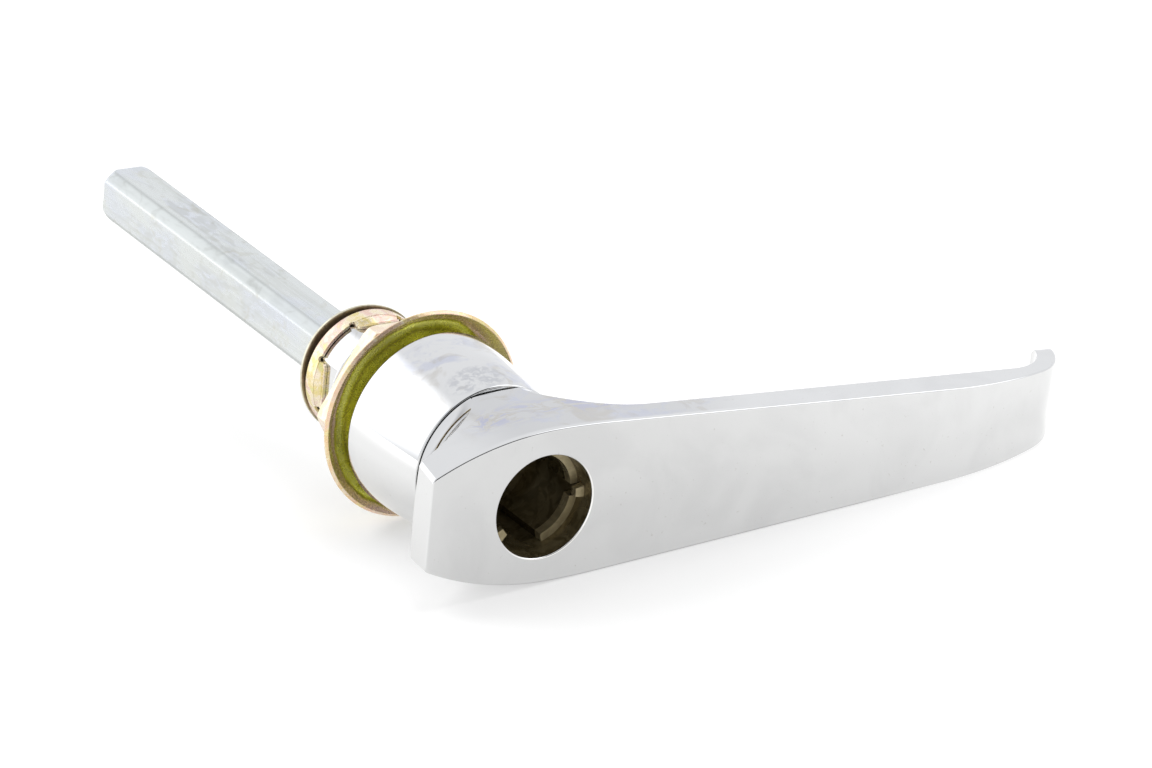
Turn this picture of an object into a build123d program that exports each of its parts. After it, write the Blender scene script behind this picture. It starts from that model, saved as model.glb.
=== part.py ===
from build123d import *
import math
import os

# Door handle of the L type with a lock bore in its hub.
# Frame: +Y runs along the spindle into the door, +X along the lever, +Z up.
# The origin is on the spindle axis, in the housing's face that meets the door.

# Lever casting, seen from the front
heel_reach = 22.9
heel_half = 8.4
heel_draft = 8.5
crown_offset = 2.0
crown_half = 14.3
crown_arc = 150.0
taper_angle = 3.83
grip_thickness = 6.0
edge_break = 0.4

# Curled tip of the lever
curl_start = 84.0
curl_radius = 70.0
curl_angle = 19.0
hook_radius = 14.0
hook_angle = 56.0
hook_thickness = 3.6
hook_inner_radius = 10.9
hook_inner_angle = 71.0
hook_lip = 1.2
hook_half = 7.3
hook_corner = 3.0

# Hub and its neck
hub_radius = 14.85
hub_depth = 17.4
neck_radius = 12.0
neck_length = 15.4
seam_gap = 0.35

# Lock bore in the hub
seat_radius = 9.5
seat_depth = 1.9
bore_radius = 9.3
bore_depth = 20.0
bore_chamfer = 0.35
ledge_depth = 4.3
ledge_height = 2.0
ledge_width = 1.4
ledge_reach = 71.0
ledge_notch = 15.0
lug_depth = 2.2
lug_height = 1.4
lug_length = 1.7
lug_width = 2.1
lug_angles = (3.0, -142.0)
cam_slot_width = 4.0
cam_slot_depth = 1.6
cam_slot_angle = -78.0

# Turn stop between hub and housing
turn_range = 90.0
stop_width = 16.0
stop_play = 0.8
stop_radius = 13.3
stop_height = 2.2
stop_start = 200.0
stop_clearance = 0.3

# Housing and its barrel
housing_front_radius = 14.95
housing_waist_radius = 16.1
housing_back_radius = 16.8
housing_length = 19.65
housing_edge = 0.4
barrel_radius = 12.0
thread_length = 15.0
barrel_end_radius = 11.0
barrel_length = 23.1
barrel_flat_cut = 1.0
barrel_chamfer = 0.5

# Spindle
spindle_flats = 10.0
spindle_corner_radius = 6.0
spindle_reach = 111.6
spindle_end_chamfer = 1.0
spindle_recess = 0.4

# Spring pin that holds the spindle in the neck
pin_radius = 2.0
pin_wall = 0.75
pin_length = 22.0
pin_slit = 0.8
pin_from_bore_floor = 7.0

# Seal ring on the neck
seal_section = 2.0
seal_side_play = 0.5
seal_groove_depth = 1.5
seal_from_hub = 4.4

# Thrust washer under the neck
thrust_thickness = 1.0
thrust_radius = 11.4

# Bush at the barrel's end
bush_radius = 8.5
bush_length = 6.0
bush_flange_radius = 9.6
bush_flange = 1.2

# Cap over the barrel's end
cap_sheet = 0.55
cap_skirt = 3.0
cap_hole_radius = 6.5
tongue_width = 8.5
tongue_reach = 1.6
tongue_bend = 0.9
tongue_corner = 0.8
tongue_notch = 0.55

# Bowed spring washer
bow_radius = 12.0
bow_hole_radius = 6.3
bow_sheet = 0.5
bow_height = 1.2
bow_direction = 135.0

# Retaining ring in the corner grooves of the spindle
ring_radial = 2.3
ring_thickness = 1.0
ring_gap = 60.0
ring_groove_depth = 0.4
ring_lug_radius = 1.5
ring_lug_hole = 0.65

# Dished washer and fixing nut
panel_gap = 2.8
dish_radius = 19.5
dish_height = 2.4
dish_sheet = 0.8
dish_bend = 2.2
dish_slope = 50.0
nut_flats = 31.0
nut_thickness = 3.2
nut_chamfer = 0.6

# Clearances between the pieces
running_gap = 0.05
face_gap = 0.05
loose_gap = 0.15

# How far a cutting body runs past the face that it opens
cut_over = 1.0

# Places along the axis that several pieces share
lever_front = -(housing_length + seam_gap + hub_depth)
hub_back = lever_front + hub_depth
housing_front = hub_back + seam_gap
bore_floor = lever_front + bore_depth
neck_end = hub_back + neck_length
pocket_floor = neck_end + thrust_thickness + 2 * face_gap
pin_place = bore_floor + pin_from_bore_floor
cap_back = barrel_length + face_gap + cap_sheet
cap_inner_radius = barrel_end_radius + loose_gap
cap_radius = cap_inner_radius + cap_sheet
flat_place = barrel_end_radius - barrel_flat_cut
bow_start = cap_back + face_gap
ring_start = bow_start + bow_height + bow_sheet + face_gap
sweep_radius = hub_depth - grip_thickness


def along_axis(sketch, front, back):
    """Solid of a sketch drawn in X and Z, from one place on the axis to another."""
    return Pos(0, back, 0) * extrude(Plane.XZ * sketch, back - front)


def turned(points):
    """Solid of revolution about the axis from straight (radius, place) corners."""
    return revolve(make_face(Polyline(*points, close=True)), Axis.Y, 360)


def tube(outer, inner, front, back):
    """Plain sleeve about the axis."""
    return along_axis(Circle(outer) - Circle(inner), front, back)


def sector(outer, start, size):
    """Flat pie piece from the axis outwards, start and size in degrees."""
    reach = 2 * outer
    corners = [(0, 0)]
    for step in range(3):
        angle = math.radians(start + size * step / 2)
        corners.append((reach * math.cos(angle), reach * math.sin(angle)))
    wedge = make_face(Polyline(*corners, close=True))
    return wedge & Circle(outer)


def lever_outline():
    """Front view of the lever: a blunt heel, a full crown at the hub, a straight taper."""
    rise = crown_half - heel_half
    run = crown_offset + heel_reach
    heel_arc = (run**2 + rise**2) / (2 * rise)
    heel_turn = math.degrees(math.asin(run / heel_arc))
    crown = (crown_offset, crown_half)
    back_side = JernArc(crown, (-1, 0), heel_arc, heel_turn)
    shoulder = JernArc(crown, (1, 0), crown_arc, -taper_angle)
    corner = shoulder @ 1
    reach = curl_start + curl_radius
    drop = (reach - corner.X) * math.tan(math.radians(taper_angle))
    flank = Line(corner, (reach, corner.Y - drop))
    middle = Polyline(flank @ 1, (reach, 0), (-heel_reach, 0), back_side @ 1)
    half = make_face([back_side, shoulder, flank, middle])
    return half + mirror(half, Plane.XZ)


def curled_tip():
    """Outer edges of the lever's tip in the top view: curl, hook, rounded lip, the hook's end."""
    curl = JernArc((curl_start, lever_front), (1, 0), curl_radius, curl_angle)
    hook = JernArc(curl @ 1, curl % 1, hook_radius, hook_angle)
    lip = JernArc(hook @ 1, hook % 1, hook_lip, 90)
    top = Line(lip @ 1, lip @ 1 + (lip % 1) * (hook_thickness - 2 * hook_lip))
    return [curl, hook, lip, top]


def lever_profile():
    """Top view of the lever: flat front, curled tip, hook, flat back."""
    front = Line((-heel_reach, lever_front), (curl_start, lever_front))
    tip = curled_tip()
    top = tip[-1]
    lip_in = JernArc(top @ 1, top % 1, hook_lip, 90)
    inner = JernArc(lip_in @ 1, lip_in % 1, hook_inner_radius, -hook_inner_angle)
    back_place = lever_front + grip_thickness
    back = Polyline(
        inner @ 1,
        (hub_radius + sweep_radius, back_place),
        (-heel_reach, back_place),
        (-heel_reach, lever_front),
    )
    return make_face([front, *tip, lip_in, inner, back])


def hub_body():
    """Round hub that sweeps out into the grip's back with a hollow curve."""
    foot = hub_radius + sweep_radius
    back_place = lever_front + grip_thickness
    slope = ThreePointArc(
        (foot, back_place),
        (
            foot - sweep_radius * math.sin(math.radians(45)),
            hub_back - sweep_radius * math.cos(math.radians(45)),
        ),
        (hub_radius, hub_back),
    )
    rest = Polyline(
        (hub_radius, hub_back),
        (0, hub_back),
        (0, lever_front),
        (foot, lever_front),
        (foot, back_place),
    )
    return revolve(make_face([slope, rest]), Axis.Y, 360)


def lock_bore():
    """Room for a lock: seat for its head, bore and cam slot, less the ledge and the lugs."""
    mouth = lever_front - cut_over
    bore = along_axis(Circle(bore_radius), mouth, bore_floor)
    rim = turned(
        [
            (0, lever_front),
            (seat_radius + bore_chamfer, lever_front),
            (seat_radius, lever_front + bore_chamfer),
            (seat_radius, lever_front + seat_depth),
            (0, lever_front + seat_depth),
        ]
    )
    slot = Rot(0, 0, cam_slot_angle) * Pos(bore_radius, 0)
    slot = slot * Rectangle(2 * cam_slot_depth, cam_slot_width)
    ledge_start = lever_front + ledge_depth
    ledge_end = ledge_start + ledge_height
    cam_slot = along_axis(slot, ledge_end, bore_floor)
    wall = bore_radius + cut_over
    half = ledge_reach - ledge_notch / 2
    ledge_parts = sector(wall, -ledge_reach, half) + sector(wall, ledge_notch / 2, half)
    ledge_parts -= Circle(bore_radius - ledge_width)
    ledge = along_axis(ledge_parts, ledge_start, ledge_end)
    space = bore + rim + cam_slot - ledge
    lug_start = lever_front + lug_depth
    for angle in lug_angles:
        block = Rot(0, 0, angle) * Pos(bore_radius, 0) * Rectangle(2 * lug_length, lug_width)
        space -= along_axis(block, lug_start, lug_start + lug_height)
    return space


def spindle_section(clearance):
    """Square bar whose corners are turned round, widened by a clearance."""
    side = spindle_flats + 2 * clearance
    return Rectangle(side, side) & Circle(spindle_corner_radius + clearance)


def cross_hole(radius):
    """Cylinder across the axis at the spring pin's place."""
    return Pos(0, pin_place, 0) * Cylinder(radius, 2 * (neck_radius + cut_over))


def make_lever():
    """Cast lever: grip, hub, lock bore and the neck that turns in the housing."""
    slab = extrude(lever_profile(), crown_half + 1, both=True)
    body = (slab + hub_body()) & along_axis(lever_outline(), lever_front, hub_back)
    rims = body.edges().filter_by_position(Axis.Y, lever_front - 0.01, lever_front + 0.01)
    rims = rims.filter_by_position(Axis.X, -hub_radius, curl_start - 1)
    body = fillet(rims, edge_break)
    wedge_back = heel_reach - hub_depth * math.tan(math.radians(heel_draft))
    wedge = make_face(
        Polyline(
            (-heel_reach, lever_front),
            (-wedge_back, hub_back),
            (-heel_reach - cut_over, hub_back),
            (-heel_reach - cut_over, lever_front),
            close=True,
        )
    )
    body -= extrude(wedge, crown_half, both=True)
    body -= hook_relief()
    neck = along_axis(Circle(neck_radius), hub_back, neck_end)
    stop_sector = sector(stop_radius, stop_start, stop_width)
    stop = along_axis(stop_sector, hub_back, housing_front + stop_height)
    body += neck + stop
    groove_start = hub_back + seal_from_hub
    groove_end = groove_start + seal_section + seal_side_play
    body -= tube(neck_radius + cut_over, neck_radius - seal_groove_depth, groove_start, groove_end)
    body -= lock_bore()
    body -= along_axis(spindle_section(0), bore_floor - cut_over, neck_end + cut_over)
    body -= cross_hole(pin_radius)
    return body


def hook_relief():
    """What the rounded corners take off the hook's end, drawn in Y and Z."""
    end_place = (curled_tip()[-1] @ 1).Y
    start = lever_front + grip_thickness + cut_over
    finish = end_place + cut_over
    window = Pos((start + finish) / 2, 0) * Rectangle(finish - start, 2 * crown_half)
    keep = Pos(end_place - hub_depth, 0) * RectangleRounded(2 * hub_depth, 2 * hook_half, hook_corner)
    return Pos(curl_start, 0, 0) * extrude(Plane.YZ * (window - keep), curl_radius)


def make_housing():
    """Cast housing: tapered body, threaded barrel and the pocket that the neck turns in."""
    side = ThreePointArc(
        (housing_front_radius, housing_front),
        (housing_waist_radius, housing_front / 2),
        (housing_back_radius, 0),
    )
    rest = Polyline(
        (housing_back_radius, 0),
        (0, 0),
        (0, housing_front),
        (housing_front_radius, housing_front),
    )
    body = revolve(make_face([side, rest]), Axis.Y, 360)
    rims = body.edges().filter_by(GeomType.CIRCLE).sort_by(Axis.Y)
    body = chamfer([rims[0], rims[-1]], housing_edge)
    body += turned(
        [
            (0, -cut_over),
            (barrel_radius, -cut_over),
            (barrel_radius, thread_length - barrel_chamfer),
            (barrel_radius - barrel_chamfer, thread_length),
            (0, thread_length),
        ]
    )
    flats = Rectangle(2 * flat_place, 2 * flat_place) & Circle(barrel_end_radius)
    body += along_axis(flats, thread_length - cut_over, barrel_length)
    mouth = barrel_length + cut_over
    body -= along_axis(Circle(neck_radius + running_gap), housing_front - cut_over, pocket_floor)
    body -= along_axis(Circle(spindle_corner_radius + running_gap), pocket_floor - cut_over, mouth)
    body -= along_axis(Circle(bush_radius + running_gap), barrel_length - bush_length, mouth)
    body -= along_axis(Circle(bush_flange_radius + loose_gap), barrel_length - bush_flange, mouth)
    play = math.degrees(stop_play / stop_radius)
    turn = turn_range + stop_width + 2 * play
    swept = sector(stop_radius + stop_clearance, stop_start - play, turn)
    body -= along_axis(swept, housing_front - cut_over, housing_front + stop_height + stop_clearance)
    return body


def make_spindle():
    """Square bar with turned corners, chamfered ends, pin hole and ring grooves."""
    start = bore_floor + spindle_recess
    rim = spindle_corner_radius + cut_over
    bevel = spindle_end_chamfer + cut_over
    ends = turned(
        [
            (0, start),
            (rim - bevel, start),
            (rim, start + bevel),
            (rim, spindle_reach - bevel),
            (rim - bevel, spindle_reach),
            (0, spindle_reach),
        ]
    )
    bar = along_axis(spindle_section(0), start, spindle_reach) & ends
    groove_radius = spindle_corner_radius - ring_groove_depth
    bar -= tube(rim, groove_radius, ring_start, ring_start + ring_thickness)
    return bar - cross_hole(pin_radius)


def make_hub_pin():
    """Rolled spring pin with its slit."""
    shell = Circle(pin_radius) - Circle(pin_radius - pin_wall)
    shell -= Pos(pin_radius, 0) * Rectangle(2 * pin_radius, pin_slit)
    return Pos(0, pin_place, -pin_length / 2) * extrude(shell, pin_length)


def make_hub_seal():
    """Rubber ring in the neck's groove, pressed flat against the pocket wall."""
    place = hub_back + seal_from_hub + (seal_section + seal_side_play) / 2
    inner = neck_radius - seal_groove_depth
    outer = neck_radius
    section = Pos((inner + outer) / 2, place) * Ellipse((outer - inner) / 2, seal_section / 2)
    return revolve(section, Axis.Y, 360)


def make_thrust_washer():
    """Plain slippery washer between the neck's end and the pocket floor."""
    start = neck_end + face_gap
    return tube(thrust_radius, spindle_corner_radius + loose_gap, start, start + thrust_thickness)


def make_spindle_bush():
    """Flanged bush with a square hole that turns with the spindle."""
    start = barrel_length - bush_length + loose_gap
    end = barrel_length - face_gap
    flange_start = barrel_length - bush_flange + loose_gap
    body = along_axis(Circle(bush_radius), start, end)
    body += along_axis(Circle(bush_flange_radius), flange_start, end)
    return body - along_axis(spindle_section(0), start - cut_over, end + cut_over)


def cap_tongue():
    """Tongue that runs on from the cap's skirt and bends in on to the barrel's flat at +X."""
    front = cap_back - cap_skirt
    tip = front - tongue_reach
    knee = front - tongue_bend
    inside = flat_place + running_gap
    outside = inside + cap_sheet
    lean = math.atan2(cap_radius - outside, tongue_bend)
    mitre = cap_sheet * math.tan(lean / 2)
    section = make_face(
        Polyline(
            (cap_inner_radius, front + mitre),
            (cap_inner_radius, front + cap_sheet),
            (cap_radius, front + cap_sheet),
            (cap_radius, front),
            (outside, knee),
            (outside, tip),
            (inside, tip),
            (inside, knee + mitre),
            close=True,
        )
    )
    strip = extrude(section, tongue_width / 2, both=True)
    length = 2 * cap_skirt
    shape = Pos(tip + length / 2, 0) * RectangleRounded(length, tongue_width, tongue_corner)
    strip &= extrude(Plane.YZ * shape, cap_radius)
    return strip & along_axis(Circle(cap_radius), tip, cap_back)


def make_barrel_cap():
    """Drawn sheet cap with four tongues pressed on to the barrel's flats."""
    front = cap_back - cap_skirt
    cup = along_axis(Circle(cap_radius), front, cap_back)
    cup -= along_axis(Circle(cap_inner_radius), front - cut_over, cap_back - cap_sheet)
    cup -= along_axis(Circle(cap_hole_radius), front - cut_over, cap_back + cut_over)
    relief = extrude(Plane.YZ * Circle(tongue_notch), cap_radius)
    aside = tongue_width / 2 + tongue_notch
    for quarter in range(4):
        spin = Rot(0, 90 * quarter, 0)
        for side in (-aside, aside):
            cup -= spin * Pos(0, front, side) * relief
        cup += spin * cap_tongue()
    return cup


def make_bowed_washer():
    """Ring of spring sheet bent over one diameter, its middle line next to the cap."""
    bend = (bow_radius**2 + bow_height**2) / (2 * bow_height)
    centre = Pos(0, bow_start + bow_sheet + bend)
    sheet = centre * (Circle(bend + bow_sheet) - Circle(bend))
    bent = Rot(0, -bow_direction, 0) * extrude(sheet, 2 * bow_radius, both=True)
    return bent & tube(bow_radius, bow_hole_radius, bow_start - cut_over, ring_start)


def make_retaining_ring():
    """Open snap ring with two eyed ends."""
    inner = spindle_corner_radius - ring_groove_depth
    outer = inner + ring_radial
    shape = Circle(outer) - Circle(inner)
    shape -= sector(outer + cut_over, -ring_gap / 2, ring_gap)
    middle = (inner + outer) / 2
    for side in (-1, 1):
        angle = math.radians(side * ring_gap / 2)
        centre = Pos(middle * math.cos(angle), middle * math.sin(angle))
        shape += centre * Circle(ring_lug_radius)
        shape -= centre * Circle(ring_lug_hole)
    shape -= Circle(inner)
    return along_axis(shape, ring_start, ring_start + ring_thickness)


def make_cup_washer():
    """Dished washer: a floor that carries the nut, a bend, and a slope down to the rim."""
    floor = panel_gap + dish_height
    hole = barrel_radius + loose_gap
    slope = math.radians(dish_slope)
    drop = dish_height - dish_bend * (1 - math.cos(slope))
    rim_inside = dish_radius - dish_sheet * math.sin(slope)
    foot = rim_inside - drop / math.tan(slope) - dish_bend * math.sin(slope)
    inner_bend = JernArc((foot, floor), (1, 0), dish_bend, -dish_slope)
    outer_bend = JernArc((foot, floor + dish_sheet), (1, 0), dish_bend + dish_sheet, -dish_slope)
    rim_outside = (dish_radius, panel_gap + dish_sheet * math.cos(slope))
    inner = Polyline(inner_bend @ 1, (rim_inside, panel_gap), rim_outside, outer_bend @ 1)
    middle = Polyline(
        outer_bend @ 0,
        (hole, floor + dish_sheet),
        (hole, floor),
        inner_bend @ 0,
    )
    return revolve(make_face([inner_bend, inner, outer_bend, middle]), Axis.Y, 360)


def make_fixing_nut():
    """Thin hexagon nut, its outer corners turned back at 30 degrees."""
    start = panel_gap + dish_height + dish_sheet + face_gap
    end = start + nut_thickness
    corner = nut_flats / math.sqrt(3)
    body = along_axis(RegularPolygon(nut_flats / 2, 6, major_radius=False), start, end)
    slant = math.sqrt(3)
    rim = corner + cut_over * slant
    cone = turned(
        [
            (0, start),
            (rim, start),
            (rim, end - nut_chamfer - cut_over),
            (corner - nut_chamfer * slant, end),
            (0, end),
        ]
    )
    hole = along_axis(Circle(barrel_radius + running_gap), start - cut_over, end + cut_over)
    return (body & cone) - hole


MAKERS = {
    "lever": make_lever,
    "housing": make_housing,
    "spindle": make_spindle,
    "hub_pin": make_hub_pin,
    "hub_seal": make_hub_seal,
    "thrust_washer": make_thrust_washer,
    "spindle_bush": make_spindle_bush,
    "barrel_cap": make_barrel_cap,
    "bowed_washer": make_bowed_washer,
    "retaining_ring": make_retaining_ring,
    "cup_washer": make_cup_washer,
    "fixing_nut": make_fixing_nut,
}

os.makedirs("parts", exist_ok=True)
for name, maker in MAKERS.items():
    export_step(maker(), "parts/" + name + ".step")
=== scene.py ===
"""Looks of a padlockable L-handle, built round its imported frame.

The frame is in metres: +Y runs along the spindle into the door, +X along the lever and +Z up, with the
origin on the axis in the housing's rear face. The classes below hold their sizes in millimetres, and
Skin turns them into metres.
"""

import logging
import math
from dataclasses import dataclass, field
from enum import Enum
from typing import Any, Callable, Iterable, Sequence

import bpy
import numpy as np
from mathutils import Matrix, Vector


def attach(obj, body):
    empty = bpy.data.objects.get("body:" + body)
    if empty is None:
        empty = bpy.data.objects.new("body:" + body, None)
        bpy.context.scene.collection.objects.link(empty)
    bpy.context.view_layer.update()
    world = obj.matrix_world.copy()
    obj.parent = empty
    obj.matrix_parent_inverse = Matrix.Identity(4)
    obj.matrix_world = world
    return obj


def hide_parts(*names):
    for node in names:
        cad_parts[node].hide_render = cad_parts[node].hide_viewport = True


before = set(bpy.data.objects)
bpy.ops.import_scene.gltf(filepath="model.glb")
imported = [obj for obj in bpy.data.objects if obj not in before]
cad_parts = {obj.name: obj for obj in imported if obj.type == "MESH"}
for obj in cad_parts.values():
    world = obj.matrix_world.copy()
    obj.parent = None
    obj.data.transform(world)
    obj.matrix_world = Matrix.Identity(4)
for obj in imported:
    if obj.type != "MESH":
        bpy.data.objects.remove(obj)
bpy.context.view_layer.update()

LOG = logging.getLogger("handle")
MM = 0.001
Array = np.ndarray
Socket = bpy.types.NodeSocket


def smooth_step(value: Array) -> Array:
    """Returns 3v^2 - 2v^3 of the value clipped to 0..1."""
    v = np.clip(value, 0.0, 1.0)
    return v * v * (3.0 - 2.0 * v)


def plateau(value: Array, low: float, high: float, soft: float) -> Array:
    """Band of a value, which is 1 between low and high and 0 outside.

    Args:
        value: Any values.
        low: Middle of the ramp up.
        high: Middle of the ramp down.
        soft: Width of each ramp.

    Returns:
        The product of the two ramps.
    """
    rise = np.clip((value - low) / soft + 0.5, 0.0, 1.0)
    fall = np.clip((high - value) / soft + 0.5, 0.0, 1.0)
    return rise * fall


def smooth_min(first: Array, second: Array, blend: float) -> Array:
    """Smaller of two values, rounded off where they are within blend of each other.

    Args:
        first: Any values.
        second: Values of the same shape.
        blend: Difference under which the two are mixed.

    Returns:
        mix(second, first, h) - blend h (1 - h), where h = 1/2 + (second - first) / (2 blend), clipped.
    """
    share = np.clip(0.5 + 0.5 * (second - first) / blend, 0.0, 1.0)
    return second * (1.0 - share) + first * share - blend * share * (1.0 - share)


def unit(vectors: Array) -> Array:
    """Returns the vectors scaled to length 1."""
    length = np.linalg.norm(vectors, axis=-1, keepdims=True)
    return vectors / np.maximum(length, 1e-12)


def angle_gap(angles: Array, centre: float) -> Array:
    """Returns each angle's signed distance from a centre, in radians between -pi and pi."""
    return (angles - centre + math.pi) % (2.0 * math.pi) - math.pi


def about_axis(radius: Array, place: Array, angles: Array) -> Array:
    """Points at (radius cos a, place, radius sin a).

    Args:
        radius: Distance from the axis, one for each row or each point.
        place: Place along the axis, shaped as radius.
        angles: Angle of each column, from +X towards +Z.

    Returns:
        An array (rows, columns, 3).
    """
    radius, place, angles = np.broadcast_arrays(radius, place, angles)
    return np.stack([radius * np.cos(angles), place, radius * np.sin(angles)], axis=-1)


def surface_normals(points: Array, ring: bool = False) -> Array:
    """Cross product of a grid's two central differences, scaled to length 1.

    Args:
        points: Grid (rows, columns, 3).
        ring: Whether the last column meets the first.

    Returns:
        An array of the grid's shape, on one side of the surface.
    """
    work = np.concatenate([points[:, -1:], points, points[:, :1]], axis=1) if ring else points
    along = np.gradient(work, axis=0)
    across = np.gradient(work, axis=1)
    if ring:
        along, across = along[:, 1:-1], across[:, 1:-1]
    return unit(np.cross(along, across))


class Skin:
    """Welds grids of points, in millimetres, into one closed mesh with the grids' own normals."""

    WELD = 2.0e-4
    WELD_SHIFT = 0.37e-4

    def __init__(self, name: str) -> None:
        """Starts an empty skin.

        Args:
            name: The piece's name.
        """
        self.name = name
        self.points: list[Array] = []
        self.normals: list[Array] = []
        self.faces: list[Array] = []
        self.count = 0

    def add(
        self,
        points: Array,
        normals: Array | None = None,
        facing: Array | None = None,
        ring: bool = False,
        smooth: bool = False,
    ) -> None:
        """Adds one grid.

        Args:
            points: Grid (rows, columns, 3).
            normals: Outward normals of the grid's shape. Without them the mesh works them out.
            facing: Rough outward directions, which turn the grid where it has no normals.
            ring: Whether the last column meets the first.
            smooth: Whether the grid's own differences give its normals.
        """
        rows, columns = points.shape[:2]
        index = self.count + np.arange(rows * columns).reshape(rows, columns)
        if ring:
            index = np.concatenate([index, index[:, :1]], axis=1)
        corners = [index[:-1, :-1], index[1:, :-1], index[1:, 1:], index[:-1, 1:]]
        quads = np.stack(corners, axis=-1).reshape(-1, 4)
        flat = points.reshape(-1, 3)
        guide = np.broadcast_to(normals if normals is not None else facing, points.shape).reshape(-1, 3)
        local = quads - self.count
        turned = np.cross(flat[local[:, 2]] - flat[local[:, 0]], flat[local[:, 3]] - flat[local[:, 1]])
        if np.sum(turned * guide[local].mean(axis=1)) < 0.0:
            quads = quads[:, ::-1]
        if smooth:
            normals = surface_normals(points, ring)
            if np.sum(normals.reshape(-1, 3) * guide) < 0.0:
                normals = -normals
        given = np.full(flat.shape, np.nan) if normals is None else np.broadcast_to(normals, points.shape)
        self.points.append(flat)
        self.normals.append(given.reshape(-1, 3))
        self.faces.append(quads)
        self.count += len(flat)

    def build(self, sharp_degrees: float = 32.0) -> bpy.types.Object:
        """Makes the object: equal points become one, and quads that lost a side become triangles.

        Args:
            sharp_degrees: Angle past which an edge is sharp, on grids that gave no normals.

        Returns:
            The new object, at the origin.
        """
        points = np.concatenate(self.points)
        normals = np.concatenate(self.normals)
        faces = np.concatenate(self.faces)
        keys = np.floor((points + self.WELD_SHIFT) / self.WELD + 0.5).astype(np.int64)
        _, first, which = np.unique(keys, axis=0, return_index=True, return_inverse=True)
        which = which.reshape(-1)
        welded = which[faces]
        repeated = welded == np.roll(welded, -1, axis=1)
        crossed = (welded[:, 0] == welded[:, 2]) | (welded[:, 1] == welded[:, 3])
        good = (repeated.sum(axis=1) < 2) & ~crossed
        faces, welded, repeated = faces[good], welded[good], repeated[good]
        corners = [row[keep].tolist() for row, keep in zip(welded, ~repeated)]
        mesh = bpy.data.meshes.new(self.name)
        mesh.from_pydata((points[first] * MM).tolist(), [], corners)
        mesh.polygons.foreach_set("use_smooth", np.ones(len(corners), dtype=bool))
        mesh.set_sharp_from_angle(angle=math.radians(sharp_degrees))
        loops = np.empty(len(mesh.loops) * 3, dtype=np.float32)
        mesh.corner_normals.foreach_get("vector", loops)
        loops = loops.reshape(-1, 3)
        given = normals[faces[~repeated]]
        known = ~np.isnan(given[:, 0])
        loops[known] = given[known]
        mesh.normals_split_custom_set(loops.tolist())
        piece = bpy.data.objects.new(self.name, mesh)
        bpy.context.scene.collection.objects.link(piece)
        return piece


@dataclass(frozen=True)
class Corner:
    """Corner of a section: distance from the axis, place along it, and how far its rounding reaches."""

    radius: float
    place: float
    rounding: float = 0.0
    steps: int = 4


def section_runs(corners: Sequence[Corner], closed: bool = True) -> list[tuple[Array, Array]]:
    """Straight runs and rounded corners of a section, each with its normals.

    A rounded corner is the curve (1-t)^2 A + 2t(1-t) E + t^2 D between the points A and D that lie one
    rounding before and after the corner E. Its normal is the mix of the two sides' normals by t.

    Args:
        corners: The section's corners, with the material on the left of the way they run.
        closed: Whether the last corner joins the first.

    Returns:
        Pairs of arrays (n, 2): points and outward normals, as distance from the axis and place.
    """
    spots = np.array([[c.radius, c.place] for c in corners])
    ahead = unit(np.roll(spots, -1, axis=0) - spots)
    runs = []
    last = len(corners) if closed else len(corners) - 1
    for i in range(last):
        j = (i + 1) % len(corners)
        heading = ahead[i]
        side = np.array([heading[1], -heading[0]])
        start = spots[i] + heading * corners[i].rounding
        finish = spots[j] - heading * corners[j].rounding
        runs.append((np.stack([start, finish]), np.stack([side, side])))
        if corners[j].rounding > 0.0 and (closed or j < len(corners) - 1):
            turn = np.linspace(0.0, 1.0, corners[j].steps + 1)[:, None]
            beyond = spots[j] + ahead[j] * corners[j].rounding
            next_side = np.array([ahead[j][1], -ahead[j][0]])
            curve = (1 - turn) ** 2 * finish + 2 * turn * (1 - turn) * spots[j] + turn**2 * beyond
            runs.append((curve, unit((1 - turn) * side + turn * next_side)))
    return runs


def revolve(skin: Skin, runs: Iterable[tuple[Array, Array]], angles: Array) -> None:
    """Turns each run of a section about the axis: a point (r, y) goes to (r cos a, y, r sin a).

    Args:
        skin: The skin that takes the grids.
        runs: Points and normals, as section_runs gives them.
        angles: Angles of the columns.
    """
    for spots, sides in runs:
        points = about_axis(spots[:, :1], spots[:, 1:], angles[None, :])
        normals = about_axis(sides[:, :1], sides[:, 1:], angles[None, :])
        skin.add(points, normals, ring=True)


def corner_strip(
    first: Array,
    edge: Array,
    last: Array,
    before: Array,
    after: Array,
    steps: int = 4,
) -> tuple[Array, Array]:
    """Rounded strip along an edge.

    Each point of the edge E gives the curve (1-t)^2 A + 2t(1-t) E + t^2 D, with normals mixed by t.

    Args:
        first: Points A on the face before the edge, (n, 3).
        edge: Points E of the sharp edge.
        last: Points D on the face after it.
        before: Normals at A.
        after: Normals at D.
        steps: Rows between A and D.

    Returns:
        Points and normals, each (steps + 1, n, 3).
    """
    turn = np.linspace(0.0, 1.0, steps + 1)[:, None, None]
    points = (1 - turn) ** 2 * first + 2 * turn * (1 - turn) * edge + turn**2 * last
    normals = unit((1 - turn) * before + turn * after)
    return points, normals


def add_rings(skin: Skin, rows: Sequence[tuple[Any, Any]], angles: Array, side: float = 1.0) -> None:
    """Adds the rings between closed rows about the axis.

    Args:
        skin: The skin that takes the grids.
        rows: Each row's distance from the axis and its place, as one number or one for each column.
        angles: Angles of the columns.
        side: 1 where the material is on the left of the way the rows run, and -1 on the right.
    """
    ones = np.ones_like(angles)
    for (r0, y0), (r1, y1) in zip(rows[:-1], rows[1:]):
        facing = about_axis(side * np.mean(y1 - y0) * ones, side * np.mean(r0 - r1) * ones, angles)
        radius, place = np.stack([r0 * ones, r1 * ones]), np.stack([y0 * ones, y1 * ones])
        skin.add(about_axis(radius, place, angles), facing=facing, ring=True)


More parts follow.
